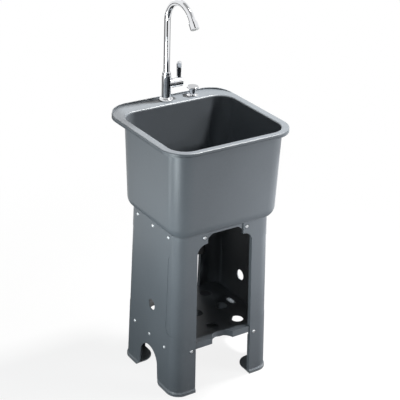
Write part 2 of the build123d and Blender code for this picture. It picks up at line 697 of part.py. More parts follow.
BODY_BASE = RIM_HEIGHT + TAP_GASKET
BODY_TOP = BODY_BASE + TAP_BODY_HEIGHT
NUT_TOP = BODY_TOP + COLLAR_NUT_HEIGHT
SOCKET_Z = BODY_TOP - SPOUT_SOCKET
BEAD_TOP = BODY_TOP - RUNNING_FIT
BEND_Z = RIM_HEIGHT + SPOUT_RISE
VALVE_Z = RIM_HEIGHT + VALVE_HEIGHT
LEDGE_UNDER = RIM_HEIGHT - RIM_THICKNESS
BONNET_END = VALVE_BOSS_REACH + VALVE_BONNET_LENGTH
HUB_START = BONNET_END + HUB_GAP
HUB_END = HUB_START + HUB_LENGTH
TAP_AXIS = Plane((TAP_SIDE, TAP_BACK, 0), x_dir=(1, 0, 0), z_dir=(0, -1, 0))
VALVE_AXIS = Plane((TAP_SIDE, TAP_BACK, VALVE_Z), x_dir=(0, 0, 1), z_dir=(0, 1, 0))
VALVE_FACE = Plane((TAP_SIDE, TAP_BACK, VALVE_Z), x_dir=(0, 1, 0), z_dir=(1, 0, 0))


def turned(points, plane):
    """A solid turned about the plane's own Y direction from (radius, distance) points."""
    with BuildPart() as piece:
        with BuildSketch(plane):
            with BuildLine():
                Polyline(*points, close=True)
            make_face()
        revolve(axis=Axis(plane.origin, plane.y_dir))
    return piece.part


def ring(plane, inner, outer, start, end):
    """A plain ring about the plane's own Y direction, from its two diameters."""
    return turned(
        [(inner / 2, start), (outer / 2, start), (outer / 2, end), (inner / 2, end)], plane
    )


with BuildPart() as tap_gasket:
    add(ring(TAP_AXIS, SHANK + 2 * RUNNING_FIT, TAP_FLANGE - 2, RIM_HEIGHT, BODY_BASE))
tap_gasket.part.label = "tap_gasket"
export_step(tap_gasket.part, "parts/tap_gasket.step")

with BuildPart() as tap_body:
    with BuildSketch(TAP_AXIS):
        with BuildLine():
            foot_edge = BODY_BASE + TAP_FLANGE_HEIGHT * 0.22
            neck_edge = BODY_BASE + TAP_FLANGE_HEIGHT
            Polyline(
                (0, BODY_BASE), (TAP_FLANGE / 2, BODY_BASE), (TAP_FLANGE / 2, foot_edge)
            )
            Spline(
                (TAP_FLANGE / 2, foot_edge),
                (TAP_BODY / 2 + (TAP_FLANGE - TAP_BODY) * 0.3, neck_edge - TAP_FLANGE_HEIGHT * 0.4),
                (TAP_BODY / 2, neck_edge),
                tangents=((-0.35, 1), (-0.2, 1)),
            )
            Polyline(
                (TAP_BODY / 2, neck_edge),
                (TAP_BODY / 2, BODY_TOP - 1.5),
                (TAP_BODY / 2 - 1.5, BODY_TOP),
                (0, BODY_TOP),
                (0, BODY_BASE),
            )
        make_face()
    revolve(axis=Axis((TAP_SIDE, TAP_BACK, 0), (0, 0, 1)))
    with Locations(VALVE_FACE):
        Cylinder(
            VALVE_BOSS / 2, VALVE_BOSS_REACH, align=(Align.CENTER, Align.CENTER, Align.MIN)
        )
    bead_seat = BEAD_TOP - SLEEVE_BEAD_HEIGHT - RUNNING_FIT
    add(
        turned(
            [
                (0, SOCKET_Z),
                (SPOUT_TUBE / 2 + RUNNING_FIT, SOCKET_Z),
                (SPOUT_TUBE / 2 + RUNNING_FIT, bead_seat),
                (SPOUT_TUBE / 2 + SLEEVE_BEAD + RUNNING_FIT, bead_seat),
                (SPOUT_TUBE / 2 + SLEEVE_BEAD + RUNNING_FIT, BODY_TOP + 1),
                (0, BODY_TOP + 1),
            ],
            TAP_AXIS,
        ),
        mode=Mode.SUBTRACT,
    )
    with Locations((TAP_SIDE, TAP_BACK, BODY_BASE)):
        Cylinder(
            SHANK / 2,
            SHANK_SOCKET,
            align=(Align.CENTER, Align.CENTER, Align.MIN),
            mode=Mode.SUBTRACT,
        )
        Cylinder(
            WATERWAY / 2,
            SOCKET_Z - BODY_BASE + 1,
            align=(Align.CENTER, Align.CENTER, Align.MIN),
            mode=Mode.SUBTRACT,
        )
    with Locations(VALVE_FACE.offset(CARTRIDGE_START)):
        Cylinder(
            CARTRIDGE / 2,
            VALVE_BOSS_REACH - CARTRIDGE_START + 1,
            align=(Align.CENTER, Align.CENTER, Align.MIN),
            mode=Mode.SUBTRACT,
        )
tap_body.part.label = "tap_body"
export_step(tap_body.part, "parts/tap_body.step")

with BuildPart() as inlet_shank:
    shank_end = RIM_HEIGHT - SHANK_LENGTH
    add(ring(TAP_AXIS, SHANK_BORE, SHANK, shank_end, BODY_BASE + SHANK_SOCKET))
    chamfer(inlet_shank.faces().sort_by(Axis.Z)[0].outer_wire().edges(), SHANK_CHAMFER)
    thread_end = shank_end + SHANK_CHAMFER + SHANK_THREAD
    add(
        ring(
            TAP_AXIS,
            SHANK - 2 * SHANK_GROOVE_DEPTH,
            SHANK + 2,
            thread_end,
            thread_end + SHANK_GROOVE,
        ),
        mode=Mode.SUBTRACT,
    )
inlet_shank.part.label = "inlet_shank"
export_step(inlet_shank.part, "parts/inlet_shank.step")

with BuildPart() as lock_washer:
    add(
        ring(
            TAP_AXIS,
            SHANK + GUIDE_HOLE_CLEARANCE,
            LOCK_WASHER,
            LEDGE_UNDER - LOCK_WASHER_THICKNESS,
            LEDGE_UNDER,
        )
    )
lock_washer.part.label = "lock_washer"
export_step(lock_washer.part, "parts/lock_washer.step")


def hex_nut(x, y, top, height, across, bore):
    """A six-sided nut hanging down from a level."""
    with BuildPart() as nut:
        with BuildSketch(Plane((x, y, top - height))):
            RegularPolygon(across / 2, 6, major_radius=False)
            Circle(bore / 2, mode=Mode.SUBTRACT)
        extrude(amount=height)
        with BuildSketch(Plane((x, y, top - height))):
            Circle(across / 2 + 0.6)
        extrude(amount=height, taper=-20, mode=Mode.INTERSECT)
    return nut.part


with BuildPart() as lock_nut:
    add(
        hex_nut(
            TAP_SIDE,
            TAP_BACK,
            LEDGE_UNDER - LOCK_WASHER_THICKNESS,
            LOCK_NUT_HEIGHT,
            LOCK_NUT,
            SHANK,
        )
    )
lock_nut.part.label = "lock_nut"
export_step(lock_nut.part, "parts/lock_nut.step")

with BuildPart() as spout_nut:
    add(ring(TAP_AXIS, SPOUT_TUBE + 2 * RUNNING_FIT, COLLAR_NUT, BODY_TOP, NUT_TOP))
    chamfer(spout_nut.faces().sort_by(Axis.Z)[-1].outer_wire().edges(), 1.4)
spout_nut.part.label = "spout_nut"
export_step(spout_nut.part, "parts/spout_nut.step")

with BuildPart() as spout_sleeve:
    foot = SOCKET_Z + RUNNING_FIT
    tube = SPOUT_TUBE / 2
    add(
        turned(
            [
                (SLEEVE_BORE / 2, foot),
                (tube - 1, foot),
                (tube, foot + 1),
                (tube, BEAD_TOP - SLEEVE_BEAD_HEIGHT),
                (tube + SLEEVE_BEAD, BEAD_TOP - SLEEVE_BEAD_HEIGHT),
                (tube + SLEEVE_BEAD, BEAD_TOP),
                (SPOUT_BORE / 2, BEAD_TOP),
                (SPOUT_BORE / 2, BEAD_TOP + SLEEVE_SPIGOT),
                (SLEEVE_BORE / 2, BEAD_TOP + SLEEVE_SPIGOT),
            ],
            TAP_AXIS,
        )
    )
    for drop in SEAL_DROPS:
        add(
            ring(
                TAP_AXIS,
                SPOUT_TUBE + 2 * RUNNING_FIT - 2 * SEAL_RING - 0.1,
                SPOUT_TUBE + 2,
                BODY_TOP - drop - SEAL_RING * 0.6,
                BODY_TOP - drop + SEAL_RING * 0.6,
            ),
            mode=Mode.SUBTRACT,
        )
spout_sleeve.part.label = "spout_sleeve"
export_step(spout_sleeve.part, "parts/spout_sleeve.step")

with BuildPart() as spout_seal_rings:
    for drop in SEAL_DROPS:
        with Locations((TAP_SIDE, TAP_BACK, BODY_TOP - drop)):
            Torus(SPOUT_TUBE / 2 + RUNNING_FIT / 2 - SEAL_RING / 2, SEAL_RING / 2)
spout_seal_rings.part.label = "spout_seal_rings"
export_step(spout_seal_rings.part, "parts/spout_seal_rings.step")

with BuildPart() as spout:
    with BuildLine(Plane((TAP_SIDE, TAP_BACK, 0), x_dir=(0, -1, 0), z_dir=(-1, 0, 0))) as spout_path:
        riser = Line((0, BEAD_TOP), (0, BEND_Z))
        bend = JernArc(riser @ 1, riser % 1, SPOUT_BEND, -SPOUT_TURN)
        Line(bend @ 1, bend @ 1 + (bend % 1) * (SPOUT_RUN + NOZZLE_GRIP))
    with BuildSketch(Plane((TAP_SIDE, TAP_BACK, BEAD_TOP))):
        Circle(SPOUT_TUBE / 2)
        Circle(SPOUT_BORE / 2, mode=Mode.SUBTRACT)
    sweep(path=spout_path.line)
spout.part.label = "spout"
export_step(spout.part, "parts/spout.step")

bend_end = spout_path.line @ 1 - (spout_path.line % 1) * NOZZLE_GRIP
flow = spout_path.line % 1
NOZZLE_AXIS = Plane(bend_end, x_dir=(1, 0, 0), z_dir=(0, -flow.Z, flow.Y))

with BuildPart() as spout_nozzle:
    add(
        turned(
            [
                (SPOUT_TUBE / 2, 0),
                (NOZZLE_NECK / 2 - 0.6, 0),
                (NOZZLE_NECK / 2, 0.6),
                (NOZZLE_NECK / 2, NOZZLE_NECK_LENGTH),
                (NOZZLE / 2 - 0.6, NOZZLE_NECK_LENGTH),
                (NOZZLE / 2, NOZZLE_NECK_LENGTH + 0.6),
                (NOZZLE / 2, NOZZLE_LENGTH - 1),
                (NOZZLE / 2 - 1, NOZZLE_LENGTH),
                (AERATOR / 2, NOZZLE_LENGTH),
                (AERATOR / 2, NOZZLE_LENGTH - AERATOR_LENGTH - 1),
                (SPOUT_BORE / 2, NOZZLE_LENGTH - AERATOR_LENGTH - 1),
                (SPOUT_BORE / 2, NOZZLE_GRIP),
                (SPOUT_TUBE / 2, NOZZLE_GRIP),
            ],
            NOZZLE_AXIS,
        )
    )
spout_nozzle.part.label = "spout_nozzle"
export_step(spout_nozzle.part, "parts/spout_nozzle.step")

with BuildPart() as aerator:
    with BuildSketch(Plane(bend_end, x_dir=(1, 0, 0), z_dir=flow).offset(NOZZLE_LENGTH - 1)):
        Circle(AERATOR / 2)
        with HexLocations(AERATOR_PITCH / 2, 5, 5):
            Circle(AERATOR_HOLE / 2, mode=Mode.SUBTRACT)
    extrude(amount=-AERATOR_LENGTH)
aerator.part.label = "aerator"
export_step(aerator.part, "parts/aerator.step")


# Side valve: cartridge with two discs, stem, bonnet and lever

DISC_FACE = CARTRIDGE_START + DISC_THICKNESS
STEM_START = DISC_FACE + DISC_THICKNESS + RUNNING_FIT
CHAMBER_END = STEM_START + STEM_HEAD_LENGTH + RUNNING_FIT
STEM_END = HUB_START + CARTRIDGE_NECK_LENGTH + HUB_GRIP

with BuildPart() as valve_cartridge:
    outer = CARTRIDGE / 2 - RUNNING_FIT
    stem_bore = STEM / 2 + RUNNING_FIT
    add(
        turned(
            [
                (DISC_CHAMBER / 2, CARTRIDGE_START),
                (outer, CARTRIDGE_START),
                (outer, VALVE_BOSS_REACH),
                (CARTRIDGE_NECK / 2, VALVE_BOSS_REACH),
                (CARTRIDGE_NECK / 2, VALVE_BOSS_REACH + CARTRIDGE_NECK_LENGTH),
                (stem_bore, VALVE_BOSS_REACH + CARTRIDGE_NECK_LENGTH),
                (stem_bore, CHAMBER_END),
                (DISC_CHAMBER / 2, CHAMBER_END),
            ],
            VALVE_AXIS,
        )
    )
valve_cartridge.part.label = "valve_cartridge"
export_step(valve_cartridge.part, "parts/valve_cartridge.step")

with BuildPart() as fixed_valve_disc:
    with BuildSketch(VALVE_FACE.offset(CARTRIDGE_START)):
        Circle(DISC_CHAMBER / 2)
        with PolarLocations(DISC_CHAMBER / 4, 2):
            Circle(DISC_PORT / 2, mode=Mode.SUBTRACT)
    extrude(amount=DISC_THICKNESS)
fixed_valve_disc.part.label = "fixed_valve_disc"
export_step(fixed_valve_disc.part, "parts/fixed_valve_disc.step")

with BuildPart() as turning_valve_disc:
    with BuildSketch(VALVE_FACE.offset(DISC_FACE + RUNNING_FIT)):
        Circle(DISC_CHAMBER / 2 - RUNNING_FIT)
        with PolarLocations(DISC_CHAMBER / 4, 2, start_angle=90):
            Circle(DISC_PORT / 2, mode=Mode.SUBTRACT)
    extrude(amount=DISC_THICKNESS)
turning_valve_disc.part.label = "turning_valve_disc"
export_step(turning_valve_disc.part, "parts/turning_valve_disc.step")

with BuildPart() as valve_stem:
    add(
        turned(
            [
                (0, STEM_START),
                (STEM_HEAD / 2, STEM_START),
                (STEM_HEAD / 2, STEM_START + STEM_HEAD_LENGTH),
                (STEM / 2, STEM_START + STEM_HEAD_LENGTH),
                (STEM / 2, STEM_END),
                (0, STEM_END),
            ],
            VALVE_AXIS,
        )
    )
    with Locations(VALVE_FACE.offset(STEM_END)):
        Cylinder(HANDLE_SCREW / 2, 2 * HUB_GRIP, mode=Mode.SUBTRACT)
valve_stem.part.label = "valve_stem"
export_step(valve_stem.part, "parts/valve_stem.step")

with BuildPart() as valve_bonnet:
    add(ring(VALVE_AXIS, CARTRIDGE_NECK, VALVE_BONNET, VALVE_BOSS_REACH, BONNET_END))
    chamfer(valve_bonnet.faces().sort_by(Axis.X)[-1].outer_wire().edges(), 0.6)
valve_bonnet.part.label = "valve_bonnet"
export_step(valve_bonnet.part, "parts/valve_bonnet.step")

with BuildPart() as lever_handle:
    with Locations(VALVE_FACE.offset(HUB_START)):
        Cylinder(HUB / 2, HUB_LENGTH, align=(Align.CENTER, Align.CENTER, Align.MIN))
    fillet(lever_handle.edges().filter_by(GeomType.CIRCLE), HUB_ROUND)
    blade_x = HUB_START + HUB_LENGTH / 2 + LEVER_OFFSET
    blade_top = VALVE_Z + LEVER_REACH - LEVER_WIDTH / 2
    with BuildSketch(TAP_AXIS) as blade:
        with BuildLine():
            Polyline(
                (blade_x - LEVER_WIDTH / 2, blade_top),
                (blade_x - LEVER_ROOT_WIDTH / 2, VALVE_Z + HUB / 2),
                (blade_x - LEVER_ROOT_WIDTH / 2, VALVE_Z),
                (blade_x + LEVER_ROOT_WIDTH / 2, VALVE_Z),
                (blade_x + LEVER_ROOT_WIDTH / 2, VALVE_Z + HUB / 2),
                (blade_x + LEVER_WIDTH / 2, blade_top),
            )
            ThreePointArc(
                (blade_x + LEVER_WIDTH / 2, blade_top),
                (blade_x, blade_top + LEVER_WIDTH / 2),
                (blade_x - LEVER_WIDTH / 2, blade_top),
            )
        make_face()
    extrude(amount=LEVER_THICKNESS / 2, both=True)
    blade_edges = lever_handle.edges().filter_by(lambda e: e.center().Z > VALVE_Z + HUB / 2 + 2)
    flat_sides = (TAP_BACK - LEVER_THICKNESS / 2, TAP_BACK + LEVER_THICKNESS / 2)
    rims = blade_edges.filter_by(lambda e: min(abs(e.center().Y - y) for y in flat_sides) < 0.01)
    fillet(rims, LEVER_THICKNESS * 0.32)
    add(
        turned(
            [
                (0, HUB_START - 1),
                (CARTRIDGE_NECK / 2 + HUB_GAP, HUB_START - 1),
                (CARTRIDGE_NECK / 2 + HUB_GAP, HUB_START + CARTRIDGE_NECK_LENGTH),
                (STEM / 2, HUB_START + CARTRIDGE_NECK_LENGTH),
                (STEM / 2, STEM_END),
                (HANDLE_SCREW / 2, STEM_END),
                (HANDLE_SCREW / 2, HUB_END - HANDLE_RECESS),
                (HANDLE_CAP / 2, HUB_END - HANDLE_RECESS),
                (HANDLE_CAP / 2, HUB_END + 1),
                (0, HUB_END + 1),
            ],
            VALVE_AXIS,
        ),
        mode=Mode.SUBTRACT,
    )
lever_handle.part.label = "lever_handle"
export_step(lever_handle.part, "parts/lever_handle.step")

with BuildPart() as handle_screw:
    add(
        turned(
            [
                (0, STEM_END - HUB_GRIP + 1),
                (HANDLE_SCREW / 2, STEM_END - HUB_GRIP + 1),
                (HANDLE_SCREW / 2, HUB_END - HANDLE_RECESS),
                (HANDLE_SCREW_HEAD / 2, HUB_END - HANDLE_RECESS),
                (HANDLE_SCREW_HEAD / 2, HUB_END - HANDLE_RECESS + HANDLE_SCREW_HEAD_HEIGHT),
                (0, HUB_END - HANDLE_RECESS + HANDLE_SCREW_HEAD_HEIGHT),
            ],
            VALVE_AXIS,
        )
    )
handle_screw.part.label = "handle_screw"
export_step(handle_screw.part, "parts/handle_screw.step")

with BuildPart() as handle_cap:
    with Locations(VALVE_FACE.offset(HUB_END - HANDLE_CAP_THICKNESS)):
        Cylinder(
            HANDLE_CAP / 2, HANDLE_CAP_THICKNESS + 0.6, align=(Align.CENTER, Align.CENTER, Align.MIN)
        )
    fillet(handle_cap.faces().sort_by(Axis.X)[-1].edges(), 0.8)
handle_cap.part.label = "handle_cap"
export_step(handle_cap.part, "parts/handle_cap.step")


# Lift knob in its guide on the ledge

KNOB_AXIS = Plane((KNOB_SIDE, KNOB_BACK, 0), x_dir=(1, 0, 0), z_dir=(0, -1, 0))
KNOB_TOP = RIM_HEIGHT + KNOB_HEIGHT
GUIDE_BOTTOM = RIM_HEIGHT - GUIDE_LENGTH
STOP_TOP = GUIDE_BOTTOM - KNOB_TRAVEL

with BuildPart() as knob_guide:
    add(
        turned(
            [
                (KNOB_STEM / 2 + RUNNING_FIT, GUIDE_BOTTOM),
                (GUIDE_TUBE / 2, GUIDE_BOTTOM),
                (GUIDE_TUBE / 2, RIM_HEIGHT),
                (GUIDE_FLANGE / 2, RIM_HEIGHT),
                (GUIDE_FLANGE / 2, RIM_HEIGHT + GUIDE_FLANGE_HEIGHT * 0.2),
                (GUIDE_TUBE / 2 + 1.4, RIM_HEIGHT + GUIDE_FLANGE_HEIGHT * 0.5),
                (GUIDE_TUBE / 2 - 0.4, RIM_HEIGHT + GUIDE_FLANGE_HEIGHT),
                (KNOB_STEM / 2 + RUNNING_FIT, RIM_HEIGHT + GUIDE_FLANGE_HEIGHT),
            ],
            KNOB_AXIS,
        )
    )
knob_guide.part.label = "knob_guide"
export_step(knob_guide.part, "parts/knob_guide.step")

with BuildPart() as knob_guide_nut:
    add(
        hex_nut(
            KNOB_SIDE, KNOB_BACK, LEDGE_UNDER, GUIDE_NUT_HEIGHT, GUIDE_NUT, GUIDE_TUBE
        )
    )
knob_guide_nut.part.label = "knob_guide_nut"
export_step(knob_guide_nut.part, "parts/knob_guide_nut.step")

with BuildPart() as lift_knob:
    band = KNOB_TOP - KNOB_HEAD_HEIGHT
    stem_end = STOP_TOP - KNOB_STOP_HEIGHT - KNOB_TAIL
    add(
        turned(
            [
                (KNOB_BORE / 2, stem_end),
                (KNOB_STEM / 2 - 1, stem_end),
                (KNOB_STEM / 2, stem_end + 1),
                (KNOB_STEM / 2, band - KNOB_CONE_HEIGHT),
                (KNOB_HEAD / 2, band),
                (KNOB_HEAD / 2, KNOB_TOP),
                (0, KNOB_TOP),
                (0, band),
                (KNOB_BORE / 2, band - KNOB_BORE / 2),
            ],
            KNOB_AXIS,
        )
    )
    fillet(lift_knob.faces().sort_by(Axis.Z)[-1].edges(), 2)
lift_knob.part.label = "lift_knob"
export_step(lift_knob.part, "parts/lift_knob.step")

with BuildPart() as knob_stop_ring:
    add(ring(KNOB_AXIS, KNOB_STEM, KNOB_STOP, STOP_TOP - KNOB_STOP_HEIGHT, STOP_TOP))
knob_stop_ring.part.label = "knob_stop_ring"
export_step(knob_stop_ring.part, "parts/knob_stop_ring.step")


# Drain: strainer bowl through the floor of the tub, lifting basket and tailpiece

DRAIN_AXIS = Plane((0, 0, 0), x_dir=(1, 0, 0), z_dir=(0, -1, 0))
SEAT_Z = FLOOR_Z - DRAIN_RECESS
BOWL_FLOOR = SEAT_Z - DRAIN_BOWL_DEPTH + DRAIN_BOWL_WALL
OUTLET_TOP = SEAT_Z - DRAIN_BOWL_DEPTH
OUTLET_END = OUTLET_TOP - DRAIN_OUTLET_LENGTH
GLAND_Z = OUTLET_TOP - GLAND
BOSS_UNDER = UNDER_Z - DRAIN_RECESS
BASKET_Z = BOWL_FLOOR + BASKET_SEAL_THICKNESS
SPIDER_Z = OUTLET_TOP - DRAIN_OUTLET_LENGTH / 2

with BuildPart() as strainer_bowl:
    wall = DRAIN_BOWL_WALL
    with BuildSketch(DRAIN_AXIS):
        with BuildLine():
            Polyline(
                (DRAIN_BOWL / 2, SEAT_Z),
                (DRAIN_FLANGE / 2, SEAT_Z),
                (DRAIN_FLANGE / 2, SEAT_Z + DRAIN_FLANGE_THICKNESS * 0.5),
                (DRAIN_FLANGE / 2 - 2, SEAT_Z + DRAIN_FLANGE_THICKNESS),
                (DRAIN_BOWL / 2 + 2, SEAT_Z + DRAIN_FLANGE_THICKNESS),
            )
            ThreePointArc(
                (DRAIN_BOWL / 2 + 2, SEAT_Z + DRAIN_FLANGE_THICKNESS),
                (DRAIN_BOWL / 2 - wall + 1, SEAT_Z + DRAIN_FLANGE_THICKNESS - 1),
                (DRAIN_BOWL / 2 - wall, SEAT_Z - 2),
            )
            Polyline(
                (DRAIN_BOWL / 2 - wall, SEAT_Z - 2),
                (DRAIN_BOWL / 2 - wall, SEAT_Z - DRAIN_BOWL_STRAIGHT),
                (DRAIN_BOWL_FOOT / 2 - wall, BOWL_FLOOR),
                (DRAIN_OUTLET_BORE / 2, BOWL_FLOOR),
                (DRAIN_OUTLET_BORE / 2, OUTLET_END),
                (DRAIN_OUTLET / 2, OUTLET_END),
                (DRAIN_OUTLET / 2, OUTLET_TOP),
                (DRAIN_BOWL_FOOT / 2, OUTLET_TOP),
                (DRAIN_BOWL / 2, SEAT_Z - DRAIN_BOWL_STRAIGHT),
                (DRAIN_BOWL / 2, SEAT_Z),
            )
        make_face()
    revolve(axis=Axis.Z)
    with BuildSketch(Plane.XY.offset(SPIDER_Z)):
        Circle(SPIDER_BOSS / 2)
        with PolarLocations(0, 3):
            Rectangle(DRAIN_OUTLET_BORE / 2 + 0.5, SPIDER_ARM, align=(Align.MIN, Align.CENTER))
        Circle(BASKET_PIN / 2 + RUNNING_FIT, mode=Mode.SUBTRACT)
    extrude(amount=SPIDER_HEIGHT)
    with Locations(Plane((0, 0, GLAND_Z), x_dir=(1, 0, 0), z_dir=(0, 1, 0))):
        Cylinder(
            GLAND / 2 - 1,
            GLAND_REACH,
            align=(Align.CENTER, Align.CENTER, Align.MIN),
            mode=Mode.SUBTRACT,
        )
strainer_bowl.part.label = "strainer_bowl"
export_step(strainer_bowl.part, "parts/strainer_bowl.step")

with BuildPart() as lift_cable_gland:
    outlet_wall = DRAIN_OUTLET / 2
    add(
        turned(
            [
                (GLAND_BORE / 2, DRAIN_OUTLET_BORE / 2 + 0.5),
                (GLAND / 2 - 1, DRAIN_OUTLET_BORE / 2 + 0.5),
                (GLAND / 2 - 1, outlet_wall + 1),
                (GLAND / 2 + 2, outlet_wall + 1),
                (GLAND / 2 + 2, outlet_wall + 6),
                (GLAND / 2, outlet_wall + 7),
                (GLAND / 2, GLAND_REACH - 1),
                (GLAND / 2 - 1, GLAND_REACH),
                (GLAND_BORE / 2, GLAND_REACH),
            ],
            Plane.XY.offset(GLAND_Z),
        )
    )
lift_cable_gland.part.label = "lift_cable_gland"
export_step(lift_cable_gland.part, "parts/lift_cable_gland.step")

with BuildPart() as bowl_gasket:
    add(
        ring(
            DRAIN_AXIS,
            DRAIN_BOWL + 2 * FIT,
            DRAIN_NUT - 2 * DRAIN_GASKET_INSET,
            BOSS_UNDER - DRAIN_GASKET_THICKNESS,
            BOSS_UNDER,
        )
    )
bowl_gasket.part.label = "bowl_gasket"
export_step(bowl_gasket.part, "parts/bowl_gasket.step")

with BuildPart() as bowl_lock_nut:
    nut_top = BOSS_UNDER - DRAIN_GASKET_THICKNESS
    add(ring(DRAIN_AXIS, DRAIN_BOWL, DRAIN_NUT, nut_top - DRAIN_NUT_HEIGHT, nut_top))
    with BuildSketch(Plane.XY.offset(nut_top - DRAIN_NUT_HEIGHT)):
        with PolarLocations(DRAIN_NUT / 2, DRAIN_NUT_NOTCHES):
            Circle(DRAIN_NUT_NOTCH / 2)
    extrude(amount=DRAIN_NUT_HEIGHT * 0.72, mode=Mode.SUBTRACT)
bowl_lock_nut.part.label = "bowl_lock_nut"
export_step(bowl_lock_nut.part, "parts/bowl_lock_nut.step")

with BuildPart() as strainer_basket:
    top = BASKET_Z + BASKET_HEIGHT
    thin = BASKET_WALL
    add(
        turned(
            [
                (0, BASKET_Z),
                (BASKET_FOOT / 2, BASKET_Z),
                (BASKET_BODY / 2, top - thin - 4),
                (BASKET_RIM / 2, top - thin),
                (BASKET_RIM / 2, top),
                (BASKET_BODY / 2 - thin, top),
                (BASKET_BODY / 2 - thin, top - thin - 4),
                (BASKET_FOOT / 2 - thin, BASKET_Z + thin),
                (0, BASKET_Z + thin),
            ],
            DRAIN_AXIS,
        )
    )
    with BuildSketch(Plane.XY.offset(BASKET_Z - 1)):
        with PolarLocations(BASKET_SEAL / 4 + BASKET_GRIP / 4, BASKET_SLOTS):
            SlotOverall(BASKET_SEAL / 2 - BASKET_GRIP / 2 - 2, BASKET_SLOT_WIDTH * 0.7)
    extrude(amount=thin + 2, mode=Mode.SUBTRACT)
    slot_height = BASKET_HEIGHT - thin - 10
    with PolarLocations(BASKET_BODY / 2 - 3, BASKET_SLOTS):
        with Locations((0, 0, BASKET_Z + thin + 2)):
            Box(
                12,
                BASKET_SLOT_WIDTH,
                slot_height,
                align=(Align.CENTER, Align.CENTER, Align.MIN),
                mode=Mode.SUBTRACT,
            )
    add(
        turned(
            [
                (0, BASKET_Z),
                (BASKET_PIN / 2 + 1, BASKET_Z),
                (BASKET_PIN / 2 + 1, top - 2),
                (BASKET_GRIP / 2, top),
                (BASKET_GRIP / 2, top + BASKET_GRIP_HEIGHT - 2),
                (BASKET_GRIP / 2 - 2, top + BASKET_GRIP_HEIGHT),
                (0, top + BASKET_GRIP_HEIGHT),
            ],
            DRAIN_AXIS,
        )
    )
    with Locations((0, 0, BASKET_Z)):
        Cylinder(
            BASKET_PIN / 2,
            BASKET_Z - SPIDER_Z + 2,
            align=(Align.CENTER, Align.CENTER, Align.MAX),
        )
strainer_basket.part.label = "strainer_basket"
export_step(strainer_basket.part, "parts/strainer_basket.step")

with BuildPart() as basket_seal:
    add(ring(DRAIN_AXIS, BASKET_PIN, BASKET_SEAL, BOWL_FLOOR, BASKET_Z))
    chamfer(basket_seal.faces().sort_by(Axis.Z)[0].outer_wire().edges(), 1)
basket_seal.part.label = "basket_seal"
export_step(basket_seal.part, "parts/basket_seal.step")

with BuildPart() as tailpiece_washer:
    flange_top = OUTLET_END - TAILPIECE_WASHER_THICKNESS
    add(ring(DRAIN_AXIS, TAILPIECE_BORE, DRAIN_OUTLET, flange_top, OUTLET_END))
tailpiece_washer.part.label = "tailpiece_washer"
export_step(tailpiece_washer.part, "parts/tailpiece_washer.step")

with BuildPart() as tailpiece:
    shoulder = flange_top - TAILPIECE_FLANGE_THICKNESS
    tail_end = flange_top - TAILPIECE_LENGTH
    add(
        turned(
            [
                (TAILPIECE_BORE / 2, flange_top),
                (DRAIN_OUTLET / 2, flange_top),
                (DRAIN_OUTLET / 2, shoulder),
                (TAILPIECE_NECK / 2, shoulder),
                (TAILPIECE_NECK / 2, tail_end + TAILPIECE_GRIP),
                (TAILPIECE / 2, tail_end + TAILPIECE_GRIP),
                (TAILPIECE / 2, tail_end),
                (TAILPIECE_BORE / 2, tail_end),
            ],
            DRAIN_AXIS,
        )
    )
tailpiece.part.label = "tailpiece"
export_step(tailpiece.part, "parts/tailpiece.step")

with BuildPart() as slip_nut:
    nut_base = shoulder - SLIP_NUT_LIP
    collar_bore = DRAIN_OUTLET / 2 + SLIP_NUT_CLEARANCE
    add(
        turned(
            [
                (TAILPIECE / 2 + SLIP_NUT_CLEARANCE, nut_base),
                (SLIP_NUT / 2 - 2, nut_base),
                (SLIP_NUT / 2, nut_base + 2),
                (SLIP_NUT / 2, nut_base + SLIP_NUT_HEIGHT),
                (collar_bore, nut_base + SLIP_NUT_HEIGHT),
                (collar_bore, shoulder),
                (TAILPIECE / 2 + SLIP_NUT_CLEARANCE, shoulder),
            ],
            DRAIN_AXIS,
        )
    )
    with BuildSketch(Plane.XY.offset(nut_base + 4)):
        with PolarLocations(SLIP_NUT / 2 + 1, SLIP_NUT_RIBS):
            Circle(2.6)
    extrude(amount=SLIP_NUT_HEIGHT, mode=Mode.SUBTRACT)
slip_nut.part.label = "slip_nut"
export_step(slip_nut.part, "parts/slip_nut.step")
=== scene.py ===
"""Studio view of a free-standing moulded sink: finishes, small hardware, lamps and camera."""
import json
import math

import bpy
from mathutils import Matrix, Vector


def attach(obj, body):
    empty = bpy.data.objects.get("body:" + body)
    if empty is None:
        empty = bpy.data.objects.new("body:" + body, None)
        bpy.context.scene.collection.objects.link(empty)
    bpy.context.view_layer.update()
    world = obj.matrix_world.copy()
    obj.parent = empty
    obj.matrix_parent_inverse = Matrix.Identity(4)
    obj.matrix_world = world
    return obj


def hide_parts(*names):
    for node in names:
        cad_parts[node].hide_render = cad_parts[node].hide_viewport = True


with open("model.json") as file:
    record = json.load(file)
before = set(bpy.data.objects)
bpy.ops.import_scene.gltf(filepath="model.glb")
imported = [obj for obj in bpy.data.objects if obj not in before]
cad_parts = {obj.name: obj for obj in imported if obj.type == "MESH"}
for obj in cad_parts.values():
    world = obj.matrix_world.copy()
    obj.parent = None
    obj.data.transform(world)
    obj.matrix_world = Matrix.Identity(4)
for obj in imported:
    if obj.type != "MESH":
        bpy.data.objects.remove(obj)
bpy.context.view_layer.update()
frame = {"nodes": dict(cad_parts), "record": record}
nodes = frame["nodes"]

MM = 0.001
SEED = 7

# Places on the sink; the origin is on the floor, in the middle of the stand
RIM_TOP = 0.8
RIM_SIDE = 0.206
RIM_FRONT = -0.185
RIM_BACK = 0.219
TUB_FLOOR = 0.523
SINK_MIDDLE = Vector((0.0, 0.0, 0.6))
TAP_FOOT = Vector((-0.004, 0.193, 0.0))
KNOB_FOOT = Vector((0.0865, 0.19, 0.0))
DRAIN_FOOT = Vector((0.0, 0.0, 0.0))


# Node trees, with their sums written as plain arithmetic

